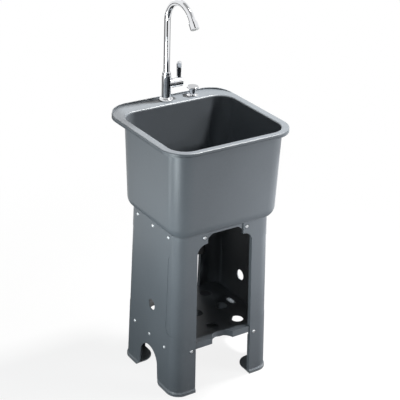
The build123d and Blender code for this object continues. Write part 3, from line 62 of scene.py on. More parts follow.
class Wire:
    """A node's output that can be added, multiplied and compared like a number."""

    def __init__(self, maker, socket):
        self.maker = maker
        self.socket = socket

    def __add__(self, other):
        return self.maker.maths("ADD", self, other)

    __radd__ = __add__

    def __sub__(self, other):
        return self.maker.maths("SUBTRACT", self, other)

    def __rsub__(self, other):
        return self.maker.maths("SUBTRACT", other, self)

    def __mul__(self, other):
        return self.maker.maths("MULTIPLY", self, other)

    __rmul__ = __mul__

    def __truediv__(self, other):
        return self.maker.maths("DIVIDE", self, other)

    def __rtruediv__(self, other):
        return self.maker.maths("DIVIDE", other, self)

    def __pow__(self, other):
        return self.maker.maths("POWER", self, other)

    def __abs__(self):
        return self.maker.maths("ABSOLUTE", self)

    def above(self, other):
        return self.maker.maths("MAXIMUM", self, other)

    def below(self, other):
        return self.maker.maths("MINIMUM", self, other)

    def ramp(self, start, end):
        """0 at start and 1 at end, eased between; start may be the larger."""
        sockets = {"Value": self, "From Min": start, "From Max": end}
        settings = {"interpolation_type": "SMOOTHSTEP"}
        return self.maker.node("ShaderNodeMapRange", settings, sockets)["Result"]


class Outputs:
    """The output sockets of one node, by name, identifier or number."""

    def __init__(self, maker, node):
        self.maker = maker
        self.node = node

    def __getitem__(self, key):
        return Wire(self.maker, find_socket(self.node.outputs, key))


def find_socket(sockets, key):
    if isinstance(key, int):
        return sockets[key]
    for socket in sockets:
        if socket.identifier == key:
            return socket
    return sockets[key]


class Maker:
    """A node tree in the making."""

    def __init__(self, tree):
        self.tree = tree

    def node(self, kind, settings=None, sockets=None):
        """A new node; each socket takes a value, a wire or a list of wires."""
        made = self.tree.nodes.new(kind)
        for name, value in (settings or {}).items():
            setattr(made, name, value)
        for key, value in (sockets or {}).items():
            socket = find_socket(made.inputs, key)
            for item in value if isinstance(value, list) else [value]:
                if isinstance(item, Wire):
                    self.tree.links.new(item.socket, socket)
                else:
                    socket.default_value = item
        return Outputs(self, made)

    def maths(self, operation, *terms):
        return self.node("ShaderNodeMath", {"operation": operation}, dict(enumerate(terms)))[0]

    def split(self, vector):
        parts = self.node("ShaderNodeSeparateXYZ", {}, {0: vector})
        return parts[0], parts[1], parts[2]

    def join(self, x, y, z):
        return self.node("ShaderNodeCombineXYZ", {}, {0: x, 1: y, 2: z})[0]


class Finish(Maker):
    """A material in the making."""

    def __init__(self, name):
        self.material = bpy.data.materials.new(name)
        self.material.use_nodes = True
        super().__init__(self.material.node_tree)
        self.tree.nodes.clear()
        self.here = self.node("ShaderNodeTexCoord")["Object"]
        self.x, self.y, self.z = self.split(self.here)

    def stretched(self, stretch, turn=(0.0, 0.0, 0.0)):
        """Object coordinates, turned and then stretched."""
        sockets = {"Vector": self.here, "Rotation": turn, "Scale": stretch}
        return self.node("ShaderNodeMapping", {}, sockets)["Vector"]

    def noise(self, scale, detail=2.0, roughness=0.5, vector=None):
        sockets = {
            "Vector": self.here if vector is None else vector,
            "Scale": scale,
            "Detail": detail,
            "Roughness": roughness,
        }
        return self.node("ShaderNodeTexNoise", {}, sockets)["Fac"]

    def cells(self, scale, feature="F1"):
        sockets = {"Vector": self.here, "Scale": scale}
        return self.node("ShaderNodeTexVoronoi", {"feature": feature}, sockets)["Distance"]

    def blend(self, share, first, second):
        """Two colours mixed by a share of the second."""
        sockets = {"Factor_Float": share, "A_Color": first, "B_Color": second}
        return self.node("ShaderNodeMix", {"data_type": "RGBA"}, sockets)["Result_Color"]

    def bump(self, height, distance, strength=1.0, under=None):
        sockets = {"Height": height, "Distance": distance, "Strength": strength}
        if under is not None:
            sockets["Normal"] = under
        return self.node("ShaderNodeBump", {}, sockets)["Normal"]

    def surface(self, sockets):
        shader = self.node("ShaderNodeBsdfPrincipled", {}, sockets)["BSDF"]
        return self.close(shader)

    def close(self, shader):
        self.node("ShaderNodeOutputMaterial", {}, {"Surface": shader})
        return self.material


def rgb(red, green, blue):
    return (red, green, blue, 1.0)


WHITE = rgb(1.0, 1.0, 1.0)


# Finishes

PLASTIC_IOR = 1.49
EDGE_WEAR = 7 * MM             # how far the rubbing reaches in from the rim's edge
TOP_WEAR = 8 * MM              # and down from its top
SCRATCH_STRETCH = (9.0, 900.0, 900.0)


def scratches(finish, turn, density):
    """Fine straight scratches that run one way, from 0 to 1."""
    along = finish.stretched(SCRATCH_STRETCH, turn)
    lines = finish.noise(1.0, 2.0, 0.6, along)
    patches = finish.noise(14.0, 1.0)
    return lines.ramp(0.70 - density, 0.78) * patches.ramp(0.45, 0.62)


def moulded_grey(name, wear):
    """Mid-grey moulded plastic with a fine grain; wear gives masks of scuffs and dust."""
    finish = Finish(name)
    deep = rgb(0.154, 0.171, 0.19)
    light = rgb(0.166, 0.185, 0.205)
    speckled = rgb(0.18, 0.197, 0.216)
    scuffed = rgb(0.3, 0.315, 0.33)
    dusty = rgb(0.31, 0.3, 0.285)
    drift = finish.noise(7.0, 3.0)
    mottle = finish.noise(180.0, 3.0)
    grain = finish.cells(1100.0, "SMOOTH_F1")
    fine = finish.noise(2600.0, 1.0)
    scuff, dust = wear(finish)
    base = finish.blend(drift.ramp(0.25, 0.75), deep, light)
    base = finish.blend(mottle.ramp(0.3, 0.7) * 0.35, base, speckled)
    base = finish.blend(scuff * 0.45, base, scuffed)
    base = finish.blend(dust * 0.3, base, dusty)
    roughness = 0.31 + 0.07 * drift + 0.05 * mottle - 0.05 * scuff + 0.2 * dust
    waves = finish.noise(22.0, 1.0)
    normal = finish.bump(waves, 0.8 * MM, 0.2)
    normal = finish.bump(grain * 0.7 + fine * 0.3, 0.12 * MM, 0.35, normal)
    return finish.surface({
        "Base Color": base,
        "Roughness": roughness,
        "Normal": normal,
        "IOR": PLASTIC_IOR,
    })


def basin_wear(finish):
    """Light rubbing on the rim and ledge, and on the floor of the tub."""
    top = finish.z.ramp(RIM_TOP - TOP_WEAR, RIM_TOP)
    sides = abs(finish.x).ramp(RIM_SIDE - EDGE_WEAR, RIM_SIDE)
    back = finish.y.ramp(RIM_BACK - EDGE_WEAR, RIM_BACK)
    front = finish.y.ramp(RIM_FRONT + EDGE_WEAR, RIM_FRONT)
    outside = sides.above(back).above(front)
    worn = finish.noise(60.0, 3.0).ramp(0.4, 0.7)
    rubbed = top * outside * worn * 0.6
    fine = scratches(finish, (0.0, 0.0, 0.5), 0.02) * top
    floor_top = finish.z.ramp(TUB_FLOOR + 12 * MM, TUB_FLOOR + 3 * MM)
    floor_foot = finish.z.ramp(TUB_FLOOR - 8 * MM, TUB_FLOOR - 3 * MM)
    floor = floor_top * floor_foot
    one_way = scratches(finish, (0.0, 0.0, 1.1), 0.05)
    other_way = scratches(finish, (0.0, 0.0, -0.6), 0.05)
    marks = one_way.above(other_way)
    dust = finish.noise(30.0, 4.0).ramp(0.5, 0.8) * floor * 0.6
    return (rubbed + fine * 0.5 + marks * floor).below(1.0), dust


def panel_wear(finish):
    """Scuffs near the floor and a little dust low down, within 30 mm of the floor."""
    low = finish.z.ramp(60 * MM, 0.0)
    spots = finish.noise(90.0, 4.0).ramp(0.5, 0.75)
    scuff = low * spots * 0.7 + scratches(finish, (0.0, 1.57, 0.0), 0.0) * 0.35
    dust = finish.noise(25.0, 4.0).ramp(0.45, 0.8) * finish.z.ramp(30 * MM, 0.0)
    return scuff.below(1.0), dust


def shelf_wear(finish):
    """Fine scratches both ways from things slid over the shelf."""
    one_way = scratches(finish, (0.0, 0.0, 0.2), 0.04)
    other_way = scratches(finish, (0.0, 0.0, 1.4), 0.04)
    dust = finish.noise(25.0, 4.0).ramp(0.45, 0.8) * 0.5
    return one_way.above(other_way) * 0.6, dust


def polished_chrome():
    """Bright plated metal with faint smudges and water spots."""
    finish = Finish("polished_chrome")
    smudge = finish.noise(55.0, 4.0, 0.6).ramp(0.48, 0.75)
    spots = finish.cells(420.0).ramp(0.16, 0.1) * finish.noise(70.0, 1.0).ramp(0.52, 0.66)
    ripple = finish.noise(45.0, 1.0)
    base = finish.blend(smudge * 0.25, rgb(0.80, 0.81, 0.83), rgb(0.70, 0.71, 0.72))
    return finish.surface({
        "Base Color": base,
        "Metallic": 1.0,
        "Roughness": 0.025 + 0.05 * smudge + 0.1 * spots,
        "Normal": finish.bump(ripple, 0.4 * MM, 0.06),
    })


def brushed_steel():
    """Satin stainless sheet, brushed round the drain's axis."""
    finish = Finish("brushed_steel")
    reach = (finish.x * finish.x + finish.y * finish.y) ** 0.5
    rings = finish.join(reach * 2600.0, finish.z * 2600.0, 0.0)
    lines = finish.noise(1.0, 2.0, 0.6, rings)
    stain = finish.noise(40.0, 4.0).ramp(0.45, 0.7)
    base = finish.blend(lines, rgb(0.56, 0.56, 0.55), rgb(0.66, 0.66, 0.65))
    base = finish.blend(stain * 0.3, base, rgb(0.47, 0.47, 0.45))
    return finish.surface({
        "Base Color": base,
        "Metallic": 1.0,
        "Roughness": 0.2 + 0.12 * lines + 0.1 * stain,
        "Normal": finish.bump(lines, 0.04 * MM, 0.4),
    })


def plated_steel():
    """Zinc-plated steel of the screws, slightly cloudy."""
    finish = Finish("plated_steel")
    cloud = finish.noise(500.0, 3.0)
    base = finish.blend(cloud.ramp(0.35, 0.65), rgb(0.80, 0.81, 0.83), rgb(0.90, 0.91, 0.92))
    return finish.surface({
        "Base Color": base,
        "Metallic": 0.5,
        "Roughness": 0.26 + 0.16 * cloud,
        "Normal": finish.bump(cloud, 0.05 * MM, 0.3),
    })


def turned_brass():
    """Machined brass with tool lines and a little tarnish."""
    finish = Finish("turned_brass")
    lines = finish.noise(1.0, 1.0, 0.5, finish.stretched((60.0, 60.0, 2400.0)))
    tarnish = finish.noise(70.0, 4.0).ramp(0.45, 0.75)
    base = finish.blend(lines, rgb(0.70, 0.53, 0.27), rgb(0.80, 0.63, 0.34))
    base = finish.blend(tarnish * 0.4, base, rgb(0.48, 0.36, 0.2))
    return finish.surface({
        "Base Color": base,
        "Metallic": 1.0,
        "Roughness": 0.24 + 0.16 * tarnish,
        "Normal": finish.bump(lines, 0.05 * MM, 0.4),
    })


def black_rubber():
    """Moulded rubber with a dull bloom."""
    finish = Finish("black_rubber")
    bloom = finish.noise(120.0, 4.0).ramp(0.45, 0.75)
    grain = finish.noise(1800.0, 1.0)
    base = finish.blend(bloom * 0.5, rgb(0.018, 0.018, 0.019), rgb(0.05, 0.05, 0.052))
    return finish.surface({
        "Base Color": base,
        "Roughness": 0.62 + 0.14 * bloom,
        "Normal": finish.bump(grain, 0.1 * MM, 0.4),
    })


def small_moulding(name, dark, light, roughness, unevenness):
    """Fine-grained plastic of a small fitting, between two colours."""
    finish = Finish(name)
    drift = finish.noise(40.0, 3.0)
    grain = finish.noise(1500.0, 1.0)
    return finish.surface({
        "Base Color": finish.blend(drift.ramp(0.3, 0.7), dark, light),
        "Roughness": roughness + unevenness * drift,
        "Normal": finish.bump(grain, 0.1 * MM, 0.25),
        "IOR": PLASTIC_IOR,
    })


def lapped_ceramic():
    """Ground white ceramic of the valve's discs."""
    finish = Finish("lapped_ceramic")
    speck = finish.noise(900.0, 3.0)
    base = finish.blend(speck.ramp(0.4, 0.7), rgb(0.78, 0.76, 0.71), rgb(0.83, 0.82, 0.78))
    return finish.surface({
        "Base Color": base,
        "Roughness": 0.16 + 0.1 * speck,
        "Normal": finish.bump(speck, 0.02 * MM, 0.3),
    })


FINISHES = {
    "chrome": polished_chrome(),
    "stainless_steel": brushed_steel(),
    "brass": turned_brass(),
    "black_rubber": black_rubber(),
    "white_plastic": small_moulding(
        "white_plastic", rgb(0.70, 0.70, 0.67), rgb(0.76, 0.76, 0.735), 0.38, 0.1
    ),
    "black_plastic": small_moulding(
        "black_plastic", rgb(0.02, 0.021, 0.023), rgb(0.032, 0.033, 0.036), 0.4, 0.12
    ),
    "ceramic": lapped_ceramic(),
}
OWN_FINISHES = {
    "basin": moulded_grey("basin_plastic", basin_wear),
    "left_side_panel": moulded_grey("panel_plastic", panel_wear),
    "shelf": moulded_grey("shelf_plastic", shelf_wear),
}
OWN_FINISHES["right_side_panel"] = OWN_FINISHES["left_side_panel"]
SCREW_FINISH = plated_steel()

for subpart in frame["record"]["subparts"]:
    name = subpart["node"]
    finish = OWN_FINISHES.get(name) or FINISHES[subpart["material_slot"]]
    for material_slot in nodes[name].material_slots:
        material_slot.material = finish


# Small hardware, made with geometry nodes

class Recipe(Maker):
    """A geometry node tree with named inputs, one of which is its finish."""

    def __init__(self, name, inputs):
        super().__init__(bpy.data.node_groups.new(name, "GeometryNodeTree"))
        self.tree.is_modifier = True
        face = self.tree.interface
        face.new_socket("Geometry", in_out="INPUT", socket_type="NodeSocketGeometry")
        face.new_socket("Geometry", in_out="OUTPUT", socket_type="NodeSocketGeometry")
        self.sockets = {
            label: face.new_socket(label, in_out="INPUT", socket_type=kind)
            for label, kind in inputs.items()
        }
        self.given = self.node("NodeGroupInput")

    def position(self):
        return self.split(self.node("GeometryNodeInputPosition")[0])

    def reshaped(self, geometry, x, y, z):
        """The geometry with each of its points put in a new place."""
        sockets = {"Geometry": geometry, "Position": self.join(x, y, z)}
        return self.node("GeometryNodeSetPosition", {}, sockets)[0]

    def close(self, geometry):
        """Ends the tree in plain geometry with its finish."""
        real = self.node("GeometryNodeRealizeInstances", {}, {"Geometry": geometry})[0]
        sockets = {"Geometry": real, "Material": self.given["Finish"]}
        finished = self.node("GeometryNodeSetMaterial", {}, sockets)[0]
        self.node("NodeGroupOutput", {}, {0: finished})

    def make(self, name, mesh, values, body, slot):
        """Runs the tree on a mesh and keeps the result as one plain mesh on a body."""
        carrier = bpy.data.objects.new(name + "_seats", mesh)
        bpy.context.scene.collection.objects.link(carrier)
        modifier = carrier.modifiers.new("recipe", "NODES")
        modifier.node_group = self.tree
        for label, value in values.items():
            modifier[self.sockets[label].identifier] = value
        depsgraph = bpy.context.evaluated_depsgraph_get()
        plain = bpy.data.meshes.new_from_object(carrier.evaluated_get(depsgraph))
        plain.name = name
        bpy.data.objects.remove(carrier)
        piece = bpy.data.objects.new(name, plain)
        bpy.context.scene.collection.objects.link(piece)
        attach(piece, body)
        return piece


# Screws of the stand

SCREW_HEAD = 10.6 * MM
SCREW_HEAD_HEIGHT = 3.0 * MM
SCREW_SHANK = 4.2 * MM
SCREW_LENGTH = 11.0 * MM
SCREW_RECESS = 5.6 * MM
SCREW_PITCH = 1.5 * MM
EDGE_FULLNESS = 0.62          # under 1, the head is fuller at its edge than a ball
CROWN_FULLNESS = 0.8          # under 1, the crown is flatter than a ball's
RECESS_DEPTH = 1.5            # length of the cutters, as a share of the head's height
RECESS_MIDDLE = 1.05          # height of their middle, as a share of the head's height
RECESS_ARM = 0.24             # width of an arm, as a share of the recess
RECESS_WAIST = 0.9            # width of the cutters at their middle, as a share of the full width
RECESS_SLOPE = 1.6            # the smaller, the more the recess narrows downwards
THREAD_CORE = 0.74            # share of the shank's radius at the foot of the thread
THREAD_RISE = 0.5
POINT_TAPER = 3.2             # the larger, the shorter the point
POINT_BLUNTNESS = 0.53        # 0.5 would be sharp
SMOOTH_ANGLE = math.radians(35)

STAND_TOP = 523 * MM          # the sides lean inwards from the floor up to here
SPLAY_X = 10.3 * MM / STAND_TOP
SPLAY_Y = 13.1 * MM / STAND_TOP
SIDES = {
    "left": Vector((-1, 0, SPLAY_X)),
    "right": Vector((1, 0, SPLAY_X)),
    "front": Vector((0, -1, SPLAY_Y)),
    "rear": Vector((0, 1, SPLAY_Y)),
}
SCREW_GROUPS = [f"{side}_{level}_screws" for side in SIDES for level in ("upper", "lower")]


def screw_seats(group, facing):
    """Where each screw of a CAD group sits: under its head, on its axis."""
    facing = facing.normalized()
    across = Vector((0, 1, 0)) if abs(facing.x) > 0.5 else Vector((1, 0, 0))
    corners = sorted((v.co.copy() for v in nodes[group].data.vertices), key=across.dot)
    clusters = [[corners[0]]]
    for before, after in zip(corners, corners[1:]):
        if across.dot(after) - across.dot(before) > SCREW_HEAD:
            clusters.append([])
        clusters[-1].append(after)
    seats = []
    for cluster in clusters:
        crown = max(cluster, key=facing.dot)
        seats.append((crown - facing * SCREW_HEAD_HEIGHT, facing))
    return seats


def seats_mesh(name, seats):
    """A mesh of bare points with a direction on each."""
    mesh = bpy.data.meshes.new(name)
    mesh.from_pydata([tuple(place) for place, facing in seats], [], [])
    facing_layer = mesh.attributes.new("facing", "FLOAT_VECTOR", "POINT")
    for item, (place, facing) in zip(facing_layer.data, seats):
        item.vector = tuple(facing)
    return mesh


def pan_head(recipe):
    """A ball squashed to a flat-bottomed dome."""
    ball = recipe.node("GeometryNodeMeshUVSphere", {}, {"Segments": 32, "Rings": 24, "Radius": 1.0})
    x, y, z = recipe.position()
    reach = recipe.maths("SQRT", x * x + y * y)
    fuller = reach ** EDGE_FULLNESS / reach.above(0.0001)
    wide = fuller * (recipe.given["Head width"] * 0.5)
    high = z.above(0.0) ** CROWN_FULLNESS * recipe.given["Head height"]
    head = recipe.reshaped(ball["Mesh"], x * wide, y * wide, high)
    sockets = {"Geometry": head, "Distance": 0.001 * MM}
    return recipe.node("GeometryNodeMergeByDistance", {}, sockets)[0]


def cross_recess(recipe):
    """The two tapered bars that are cut from the head."""
    long, height = recipe.given["Recess width"], recipe.given["Head height"]
    thin = long * RECESS_ARM
    depth = height * RECESS_DEPTH
    x, y, z = recipe.position()
    taper = RECESS_WAIST + z / (depth * RECESS_SLOPE)
    bars = []
    for width, length in ((long, thin), (thin, long)):
        sockets = {"Size": recipe.join(width, length, depth)}
        bar = recipe.node("GeometryNodeMeshCube", {}, sockets)["Mesh"]
        bars.append(recipe.reshaped(bar, x * taper, y * taper, z + height * RECESS_MIDDLE))
    return bars


def threaded_shank(recipe):
    """A cylinder whose skin rises and falls along a helix, down to a blunt point."""
    tube = recipe.node(
        "GeometryNodeMeshCylinder",
        {"fill_type": "TRIANGLE_FAN"},
        {"Vertices": 12, "Side Segments": 36, "Radius": 1.0, "Depth": 1.0},
    )
    x, y, z = recipe.position()
    angle = recipe.maths("ARCTAN2", y, x) / (2 * math.pi)
    drop = (z - 0.5) * recipe.given["Shank length"]
    ridge = recipe.maths("PINGPONG", drop / recipe.given["Thread pitch"] - angle, 0.5)
    point = ((z + POINT_BLUNTNESS) * POINT_TAPER).below(1.0)
    swell = (THREAD_CORE + ridge * THREAD_RISE) * point
    radius = swell * (recipe.given["Shank width"] * 0.5)
    return recipe.reshaped(tube["Mesh"], x * radius, y * radius, drop)


def on_seats(recipe, shape):
    """The shape on every given point, along its direction and turned by chance."""
    attribute = {"data_type": "FLOAT_VECTOR"}
    facing = recipe.node("GeometryNodeInputNamedAttribute", attribute, {"Name": "facing"})
    sockets = {"Vector": facing["Attribute"]}
    stance = recipe.node("FunctionNodeAlignRotationToVector", {"axis": "Z"}, sockets)[0]
    sockets = {"Min_001": 0.0, "Max_001": math.pi, "Seed": recipe.given["Seed"]}
    chance = recipe.node("FunctionNodeRandomValue", {"data_type": "FLOAT"}, sockets)["Value_001"]
    sockets = {"Axis": (0, 0, 1), "Angle": chance}
    spin = recipe.node("FunctionNodeAxisAngleToRotation", {}, sockets)[0]
    sockets = {"Rotation": stance, "Rotate By": spin}
    stance = recipe.node("FunctionNodeRotateRotation", {"rotation_space": "LOCAL"}, sockets)[0]
    points = recipe.node("GeometryNodeMeshToPoints", {}, {"Mesh": recipe.given["Geometry"]})[0]
    sockets = {"Points": points, "Instance": shape, "Rotation": stance}
    return recipe.node("GeometryNodeInstanceOnPoints", {}, sockets)[0]


def screw_recipe():
    """Pan-head screw with a cross recess and a threaded shank, set on every seat."""
    recipe = Recipe("screw_recipe", {
        "Head width": "NodeSocketFloat",
        "Head height": "NodeSocketFloat",
        "Shank width": "NodeSocketFloat",
        "Shank length": "NodeSocketFloat",
        "Recess width": "NodeSocketFloat",
        "Thread pitch": "NodeSocketFloat",
        "Seed": "NodeSocketInt",
        "Finish": "NodeSocketMaterial",
    })
    head = recipe.node(
        "GeometryNodeMeshBoolean",
        {"operation": "DIFFERENCE", "solver": "EXACT"},
        {"Mesh 1": pan_head(recipe), "Mesh 2": cross_recess(recipe)},
    )["Mesh"]
    whole = recipe.node("GeometryNodeJoinGeometry", {}, {0: [head, threaded_shank(recipe)]})[0]
    recipe.close(on_seats(recipe, whole))
    return recipe


all_seats = []
for group in SCREW_GROUPS:
    all_seats += screw_seats(group, SIDES[group.split("_")[0]])
stand_screws = screw_recipe().make(
    "stand_screws",
    seats_mesh("screw_seats", all_seats),
    {
        "Head width": SCREW_HEAD,
        "Head height": SCREW_HEAD_HEIGHT,
        "Shank width": SCREW_SHANK,
        "Shank length": SCREW_LENGTH,
        "Recess width": SCREW_RECESS,
        "Thread pitch": SCREW_PITCH,
        "Seed": SEED,
        "Finish": SCREW_FINISH,
    },
    "stand_and_basin",
    "stainless_steel",
)
stand_screws.data.shade_smooth()
stand_screws.data.set_sharp_from_angle(angle=SMOOTH_ANGLE)
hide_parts(*SCREW_GROUPS)


# Threads under the ledge and under the tub

RIDGE_SHARE = 0.32            # height of a ridge, as a share of the pitch
THREADS = {
    # name: radius, low level, high level and pitch in millimetres, foot of the axis, slot
    "inlet_thread": (10.1, 753.5, 781.5, 1.81, TAP_FOOT, "brass"),
    "knob_guide_thread": (12.3, 765.5, 788.0, 1.5, KNOB_FOOT, "chrome"),
    "outlet_thread": (21.8, 442.5, 450.0, 2.2, DRAIN_FOOT, "stainless_steel"),
}


def thread_recipe():
    """A thread wound round an upright tube from a low level to a high one."""
    recipe = Recipe("thread_recipe", {
        "Radius": "NodeSocketFloat",
        "Rise": "NodeSocketFloat",
        "Turns": "NodeSocketFloat",
        "Ridge": "NodeSocketFloat",
        "Start": "NodeSocketVector",
        "Finish": "NodeSocketMaterial",
    })
    given, node = recipe.given, recipe.node
    coil = node(
        "GeometryNodeCurveSpiral",
        {},
        {
            "Resolution": 40,
            "Rotations": given["Turns"],
            "Start Radius": given["Radius"],
            "End Radius": given["Radius"],
            "Height": given["Rise"],
        },
    )[0]
    coil = node("GeometryNodeSetCurveNormal", {"mode": "Z_UP"}, {"Curve": coil})[0]
    sockets = {"Resolution": 4, "Radius": given["Ridge"]}
    crest = node("GeometryNodeCurvePrimitiveCircle", {"mode": "RADIUS"}, sockets)[0]
    sockets = {"Curve": coil, "Profile Curve": crest, "Fill Caps": True}
    thread = node("GeometryNodeCurveToMesh", {}, sockets)[0]
    sockets = {"Geometry": thread, "Translation": given["Start"]}
    recipe.close(node("GeometryNodeTransform", {}, sockets)[0])
    return recipe


threads = thread_recipe()
for name, (radius, low, high, pitch, foot, slot) in THREADS.items():
    one_point = bpy.data.meshes.new(name + "_bare")
    one_point.from_pydata([(0.0, 0.0, 0.0)], [], [])
    threads.make(
        name,
        one_point,
        {
            "Radius": radius * MM,
            "Rise": (high - low) * MM,
            "Turns": (high - low) / pitch,
            "Ridge": RIDGE_SHARE * pitch * MM,
            "Start": (foot.x, foot.y, low * MM),
            "Finish": FINISHES[slot],
        },
        "stand_and_basin",
        slot,
    )


# Floor and world

HALF_FLOOR = 9.0
WHITE_FROM = 0.45             # the floor turns from its own white to pure white out here
WHITE_BY = 1.5
FLOOR_GLOW = 0.86             # share of the floor's white that no shadow reaches, near the sink
SOFT_LIGHT = 0.015


def plain_mesh(name, corners, material):
    """One flat face that belongs to the studio."""
    mesh = bpy.data.meshes.new(name)
    mesh.from_pydata(corners, [], [tuple(range(len(corners)))])
    mesh.materials.append(material)
    thing = bpy.data.objects.new(name, mesh)
    bpy.context.scene.collection.objects.link(thing)
    return thing


def seen_rays(maker):
    """1 for what the camera, a reflection or a clear body sees, and 0 for light."""
    rays = maker.node("ShaderNodeLightPath")
    return rays["Is Camera Ray"].above(rays["Is Glossy Ray"]).above(rays["Is Transmission Ray"])


def floor_finish():
    """Pale floor that keeps its shadow, turns white further out and throws little light back."""
    finish = Finish("pale_floor")
    speckle = finish.noise(30.0, 3.0)
    paint = finish.blend(speckle, rgb(0.66, 0.66, 0.66), rgb(0.7, 0.7, 0.7))
    matt = finish.node("ShaderNodeBsdfDiffuse", {}, {"Color": paint})["BSDF"]
    glow = finish.node("ShaderNodeEmission", {}, {"Color": WHITE, "Strength": 1.0})["Emission"]
    reach = (finish.x * finish.x + finish.y * finish.y) ** 0.5
    share = FLOOR_GLOW + (1.0 - FLOOR_GLOW) * reach.ramp(WHITE_FROM, WHITE_BY)
    shown = finish.node("ShaderNodeMixShader", {}, {0: share, 1: matt, 2: glow})["Shader"]
    dim = finish.node("ShaderNodeBsdfDiffuse", {}, {"Color": rgb(0.1, 0.1, 0.1)})["BSDF"]
    sockets = {0: seen_rays(finish), 1: dim, 2: shown}
    return finish.close(finish.node("ShaderNodeMixShader", {}, sockets)["Shader"])


floor_corners = [(-HALF_FLOOR, -HALF_FLOOR, 0), (HALF_FLOOR, -HALF_FLOOR, 0)]
floor_corners += [(HALF_FLOOR, HALF_FLOOR, 0), (-HALF_FLOOR, HALF_FLOOR, 0)]
plain_mesh("floor", floor_corners, floor_finish())

world = bpy.data.worlds.new("studio")
bpy.context.scene.world = world
world.use_nodes = True
world.node_tree.nodes.clear()
surround = Maker(world.node_tree)
sockets = {"Color": rgb(0.93, 0.96, 1.0), "Strength": SOFT_LIGHT}
soft = surround.node("ShaderNodeBackground", {}, sockets)["Background"]
white = surround.node("ShaderNodeBackground", {}, {"Color": WHITE, "Strength": 1.0})["Background"]
sockets = {0: seen_rays(surround), 1: soft, 2: white}
seen = surround.node("ShaderNodeMixShader", {}, sockets)["Shader"]
surround.node("ShaderNodeOutputWorld", {}, {"Surface": seen})


# Lamps

WARM = (1.0, 0.99, 0.97)
COOL = (0.98, 0.99, 1.0)
SKY = (0.88, 0.97, 1.0)
PALE_SKY = (0.9, 0.98, 1.0)


def toward(azimuth, distance, height):
    """A place round the sink; azimuth 0 is the front and 90 the right."""
    turn = math.radians(azimuth)
    return Vector((distance * math.sin(turn), -distance * math.cos(turn), height))


def softbox(name, place, size, share, tint, shine=True):
    """An area lamp that lights a surface turned to it by a share of full white."""
    beam = SINK_MIDDLE - place
    lamp = bpy.data.lights.new(name, "AREA")
    lamp.shape = "RECTANGLE"
    lamp.size, lamp.size_y = size
    lamp.energy = share * math.pi ** 2 * beam.length_squared
    lamp.color = tint
    holder = bpy.data.objects.new(name, lamp)
    bpy.context.scene.collection.objects.link(holder)
    holder.location = place
    holder.rotation_euler = beam.to_track_quat("-Z", "Y").to_euler()
    holder.visible_camera = False
    holder.visible_glossy = shine


softbox("key", toward(88, 1.15, 2.9), size=(0.35, 0.35), share=2.2, tint=WARM)
softbox("rear", toward(162, 2.4, 1.8), size=(2.4, 1.2), share=0.07, tint=COOL, shine=False)
softbox("rim_light", toward(55, 1.9, 1.9), size=(0.4, 0.4), share=0.14, tint=COOL)
softbox("left_side", toward(-69, 0.92, 0.5), size=(0.4, 0.3), share=0.57, tint=SKY)
softbox("left_strip", toward(-111, 1.5, 0.12), size=(0.2, 0.3), share=0.12, tint=PALE_SKY)
softbox("right_front", toward(42, 0.85, 0.45), size=(0.3, 0.2), share=0.74, tint=COOL, shine=False)


# Cards that only reflections see, and screens that only stop lamps

BLACK_CARD = 0.02             # brightness of a card that shows as near black
ARC_STEPS = 6
CARD_LIFT = 0.02              # lying cards above the floor
DISC_REACH = 0.92             # the dark disc that the stand is in the middle of
DISC_SIDES = 32
DISC_LIFT = 0.004
CEILING = 3.3
HALF_CEILING = 1.6
INNER_REACH = 0.128           # the stand's screens are just inside its front and rear
INNER_HALF = 0.1
INNER_LEVELS = (0.17, 0.5)
TUB_SCREEN = [(-0.13, -0.11, 0.65), (0.15, -0.11, 0.65), (0.15, 0.15, 0.68), (-0.13, 0.15, 0.68)]


def card(name, corners, brightness):
    """A card for the contrast on the plated parts."""
    finish = Finish(name)
    sockets = {"Color": WHITE, "Strength": brightness}
    shine = finish.node("ShaderNodeEmission", {}, sockets)["Emission"]
    made = plain_mesh(name, corners, finish.close(shine))
    made.visible_camera = False
    made.visible_diffuse = False
    made.visible_shadow = False
    made.visible_transmission = False
    return made


def upright_card(name, azimuths, distance, levels, brightness=BLACK_CARD):
    """A standing card between two directions and two levels."""
    start, end = (toward(azimuth, distance, 0.0) for azimuth in azimuths)
    low, high = levels
    corners = [(start.x, start.y, low), (end.x, end.y, low)]
    corners += [(end.x, end.y, high), (start.x, start.y, high)]
    card(name, corners, brightness)


def lying_card(name, azimuths, distances, brightness=BLACK_CARD):
    """A card low over the floor, between two distances from the foot of the tap."""
    start, end = azimuths
    near, far = distances
    steps = [start + (end - start) * step / ARC_STEPS for step in range(ARC_STEPS + 1)]
    ring = [TAP_FOOT + toward(azimuth, near, CARD_LIFT) for azimuth in steps]
    ring += [TAP_FOOT + toward(azimuth, far, CARD_LIFT) for azimuth in reversed(steps)]
    card(name, [tuple(corner) for corner in ring], brightness)


def screen(name, corners):
    """Keeps lamps off the dark inside of the stand or the tub."""
    made = card(name, corners, BLACK_CARD)
    made.visible_glossy = False
    made.visible_shadow = True


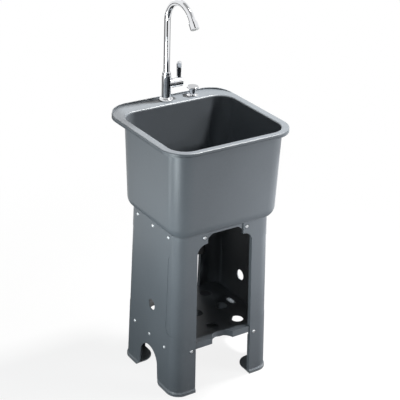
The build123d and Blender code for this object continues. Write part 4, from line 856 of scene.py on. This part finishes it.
turns = [360 * side / DISC_SIDES for side in range(DISC_SIDES)]
card("card_under_stand", [tuple(toward(turn, DISC_REACH, DISC_LIFT)) for turn in turns], 0.03)
upright_card("card_front_left", (-61, 0), distance=4.2, levels=(0.5, 1.7))
upright_card("card_front_right", (0, 55), distance=4.2, levels=(0.5, 1.7))
upright_card("card_behind", (130, 151), distance=3.2, levels=(1.2, 2.7), brightness=0.72)
upright_card("card_behind_left", (152, 172), distance=3.2, levels=(1.2, 2.7), brightness=2.0)
upright_card("card_nozzle", (-42, 0), distance=1.9, levels=(2.75, 3.45), brightness=0.03)
lying_card("card_body", (-18, 58), distances=(1.9, 2.21))
lying_card("card_body_left", (-56, -18), distances=(1.9, 2.21), brightness=0.05)
lying_card("card_line", (-54, -8), distances=(2.21, 4.1))
lying_card("card_edge_left", (-211, -104), distances=(1.9, 4.1), brightness=0.2)
lying_card("card_edge_right", (74, 149), distances=(1.9, 4.1), brightness=0.3)
ceiling_corners = [(-HALF_CEILING, -HALF_CEILING, CEILING), (HALF_CEILING, -HALF_CEILING, CEILING)]
ceiling_corners += [(HALF_CEILING, HALF_CEILING, CEILING), (-HALF_CEILING, HALF_CEILING, CEILING)]
card("card_above", ceiling_corners, 0.4)

low, high = INNER_LEVELS
for side, y in (("front", -INNER_REACH), ("rear", INNER_REACH)):
    corners = [(-INNER_HALF, y, low), (INNER_HALF, y, low)]
    corners += [(INNER_HALF, y, high), (-INNER_HALF, y, high)]
    screen(f"flag_{side}", corners)
screen("flag_tub", TUB_SCREEN)


# Camera, at the photograph's place

CAMERA_PLACE = (-1.71995, -2.58773, 2.06091)
CAMERA_HEADING = -33.44
CAMERA_DIP = 25.96
CAMERA_ROLL = 1.76

camera_data = bpy.data.cameras.new("camera")
camera_data.sensor_width = 36.0
camera_data.lens = 106.307
camera_data.shift_x = 0.00745
camera_data.shift_y = 0.0026
camera_data.clip_start = 0.05
camera_data.clip_end = 60.0
camera = bpy.data.objects.new("camera", camera_data)
bpy.context.scene.collection.objects.link(camera)
camera.matrix_world = (
    Matrix.Translation(CAMERA_PLACE)
    @ Matrix.Rotation(math.radians(CAMERA_HEADING), 4, "Z")
    @ Matrix.Rotation(math.radians(90.0 - CAMERA_DIP), 4, "X")
    @ Matrix.Rotation(math.radians(CAMERA_ROLL), 4, "Z")
)
bpy.context.scene.camera = camera

bpy.context.scene.view_settings.view_transform = "Standard"

bpy.context.view_layer.update()
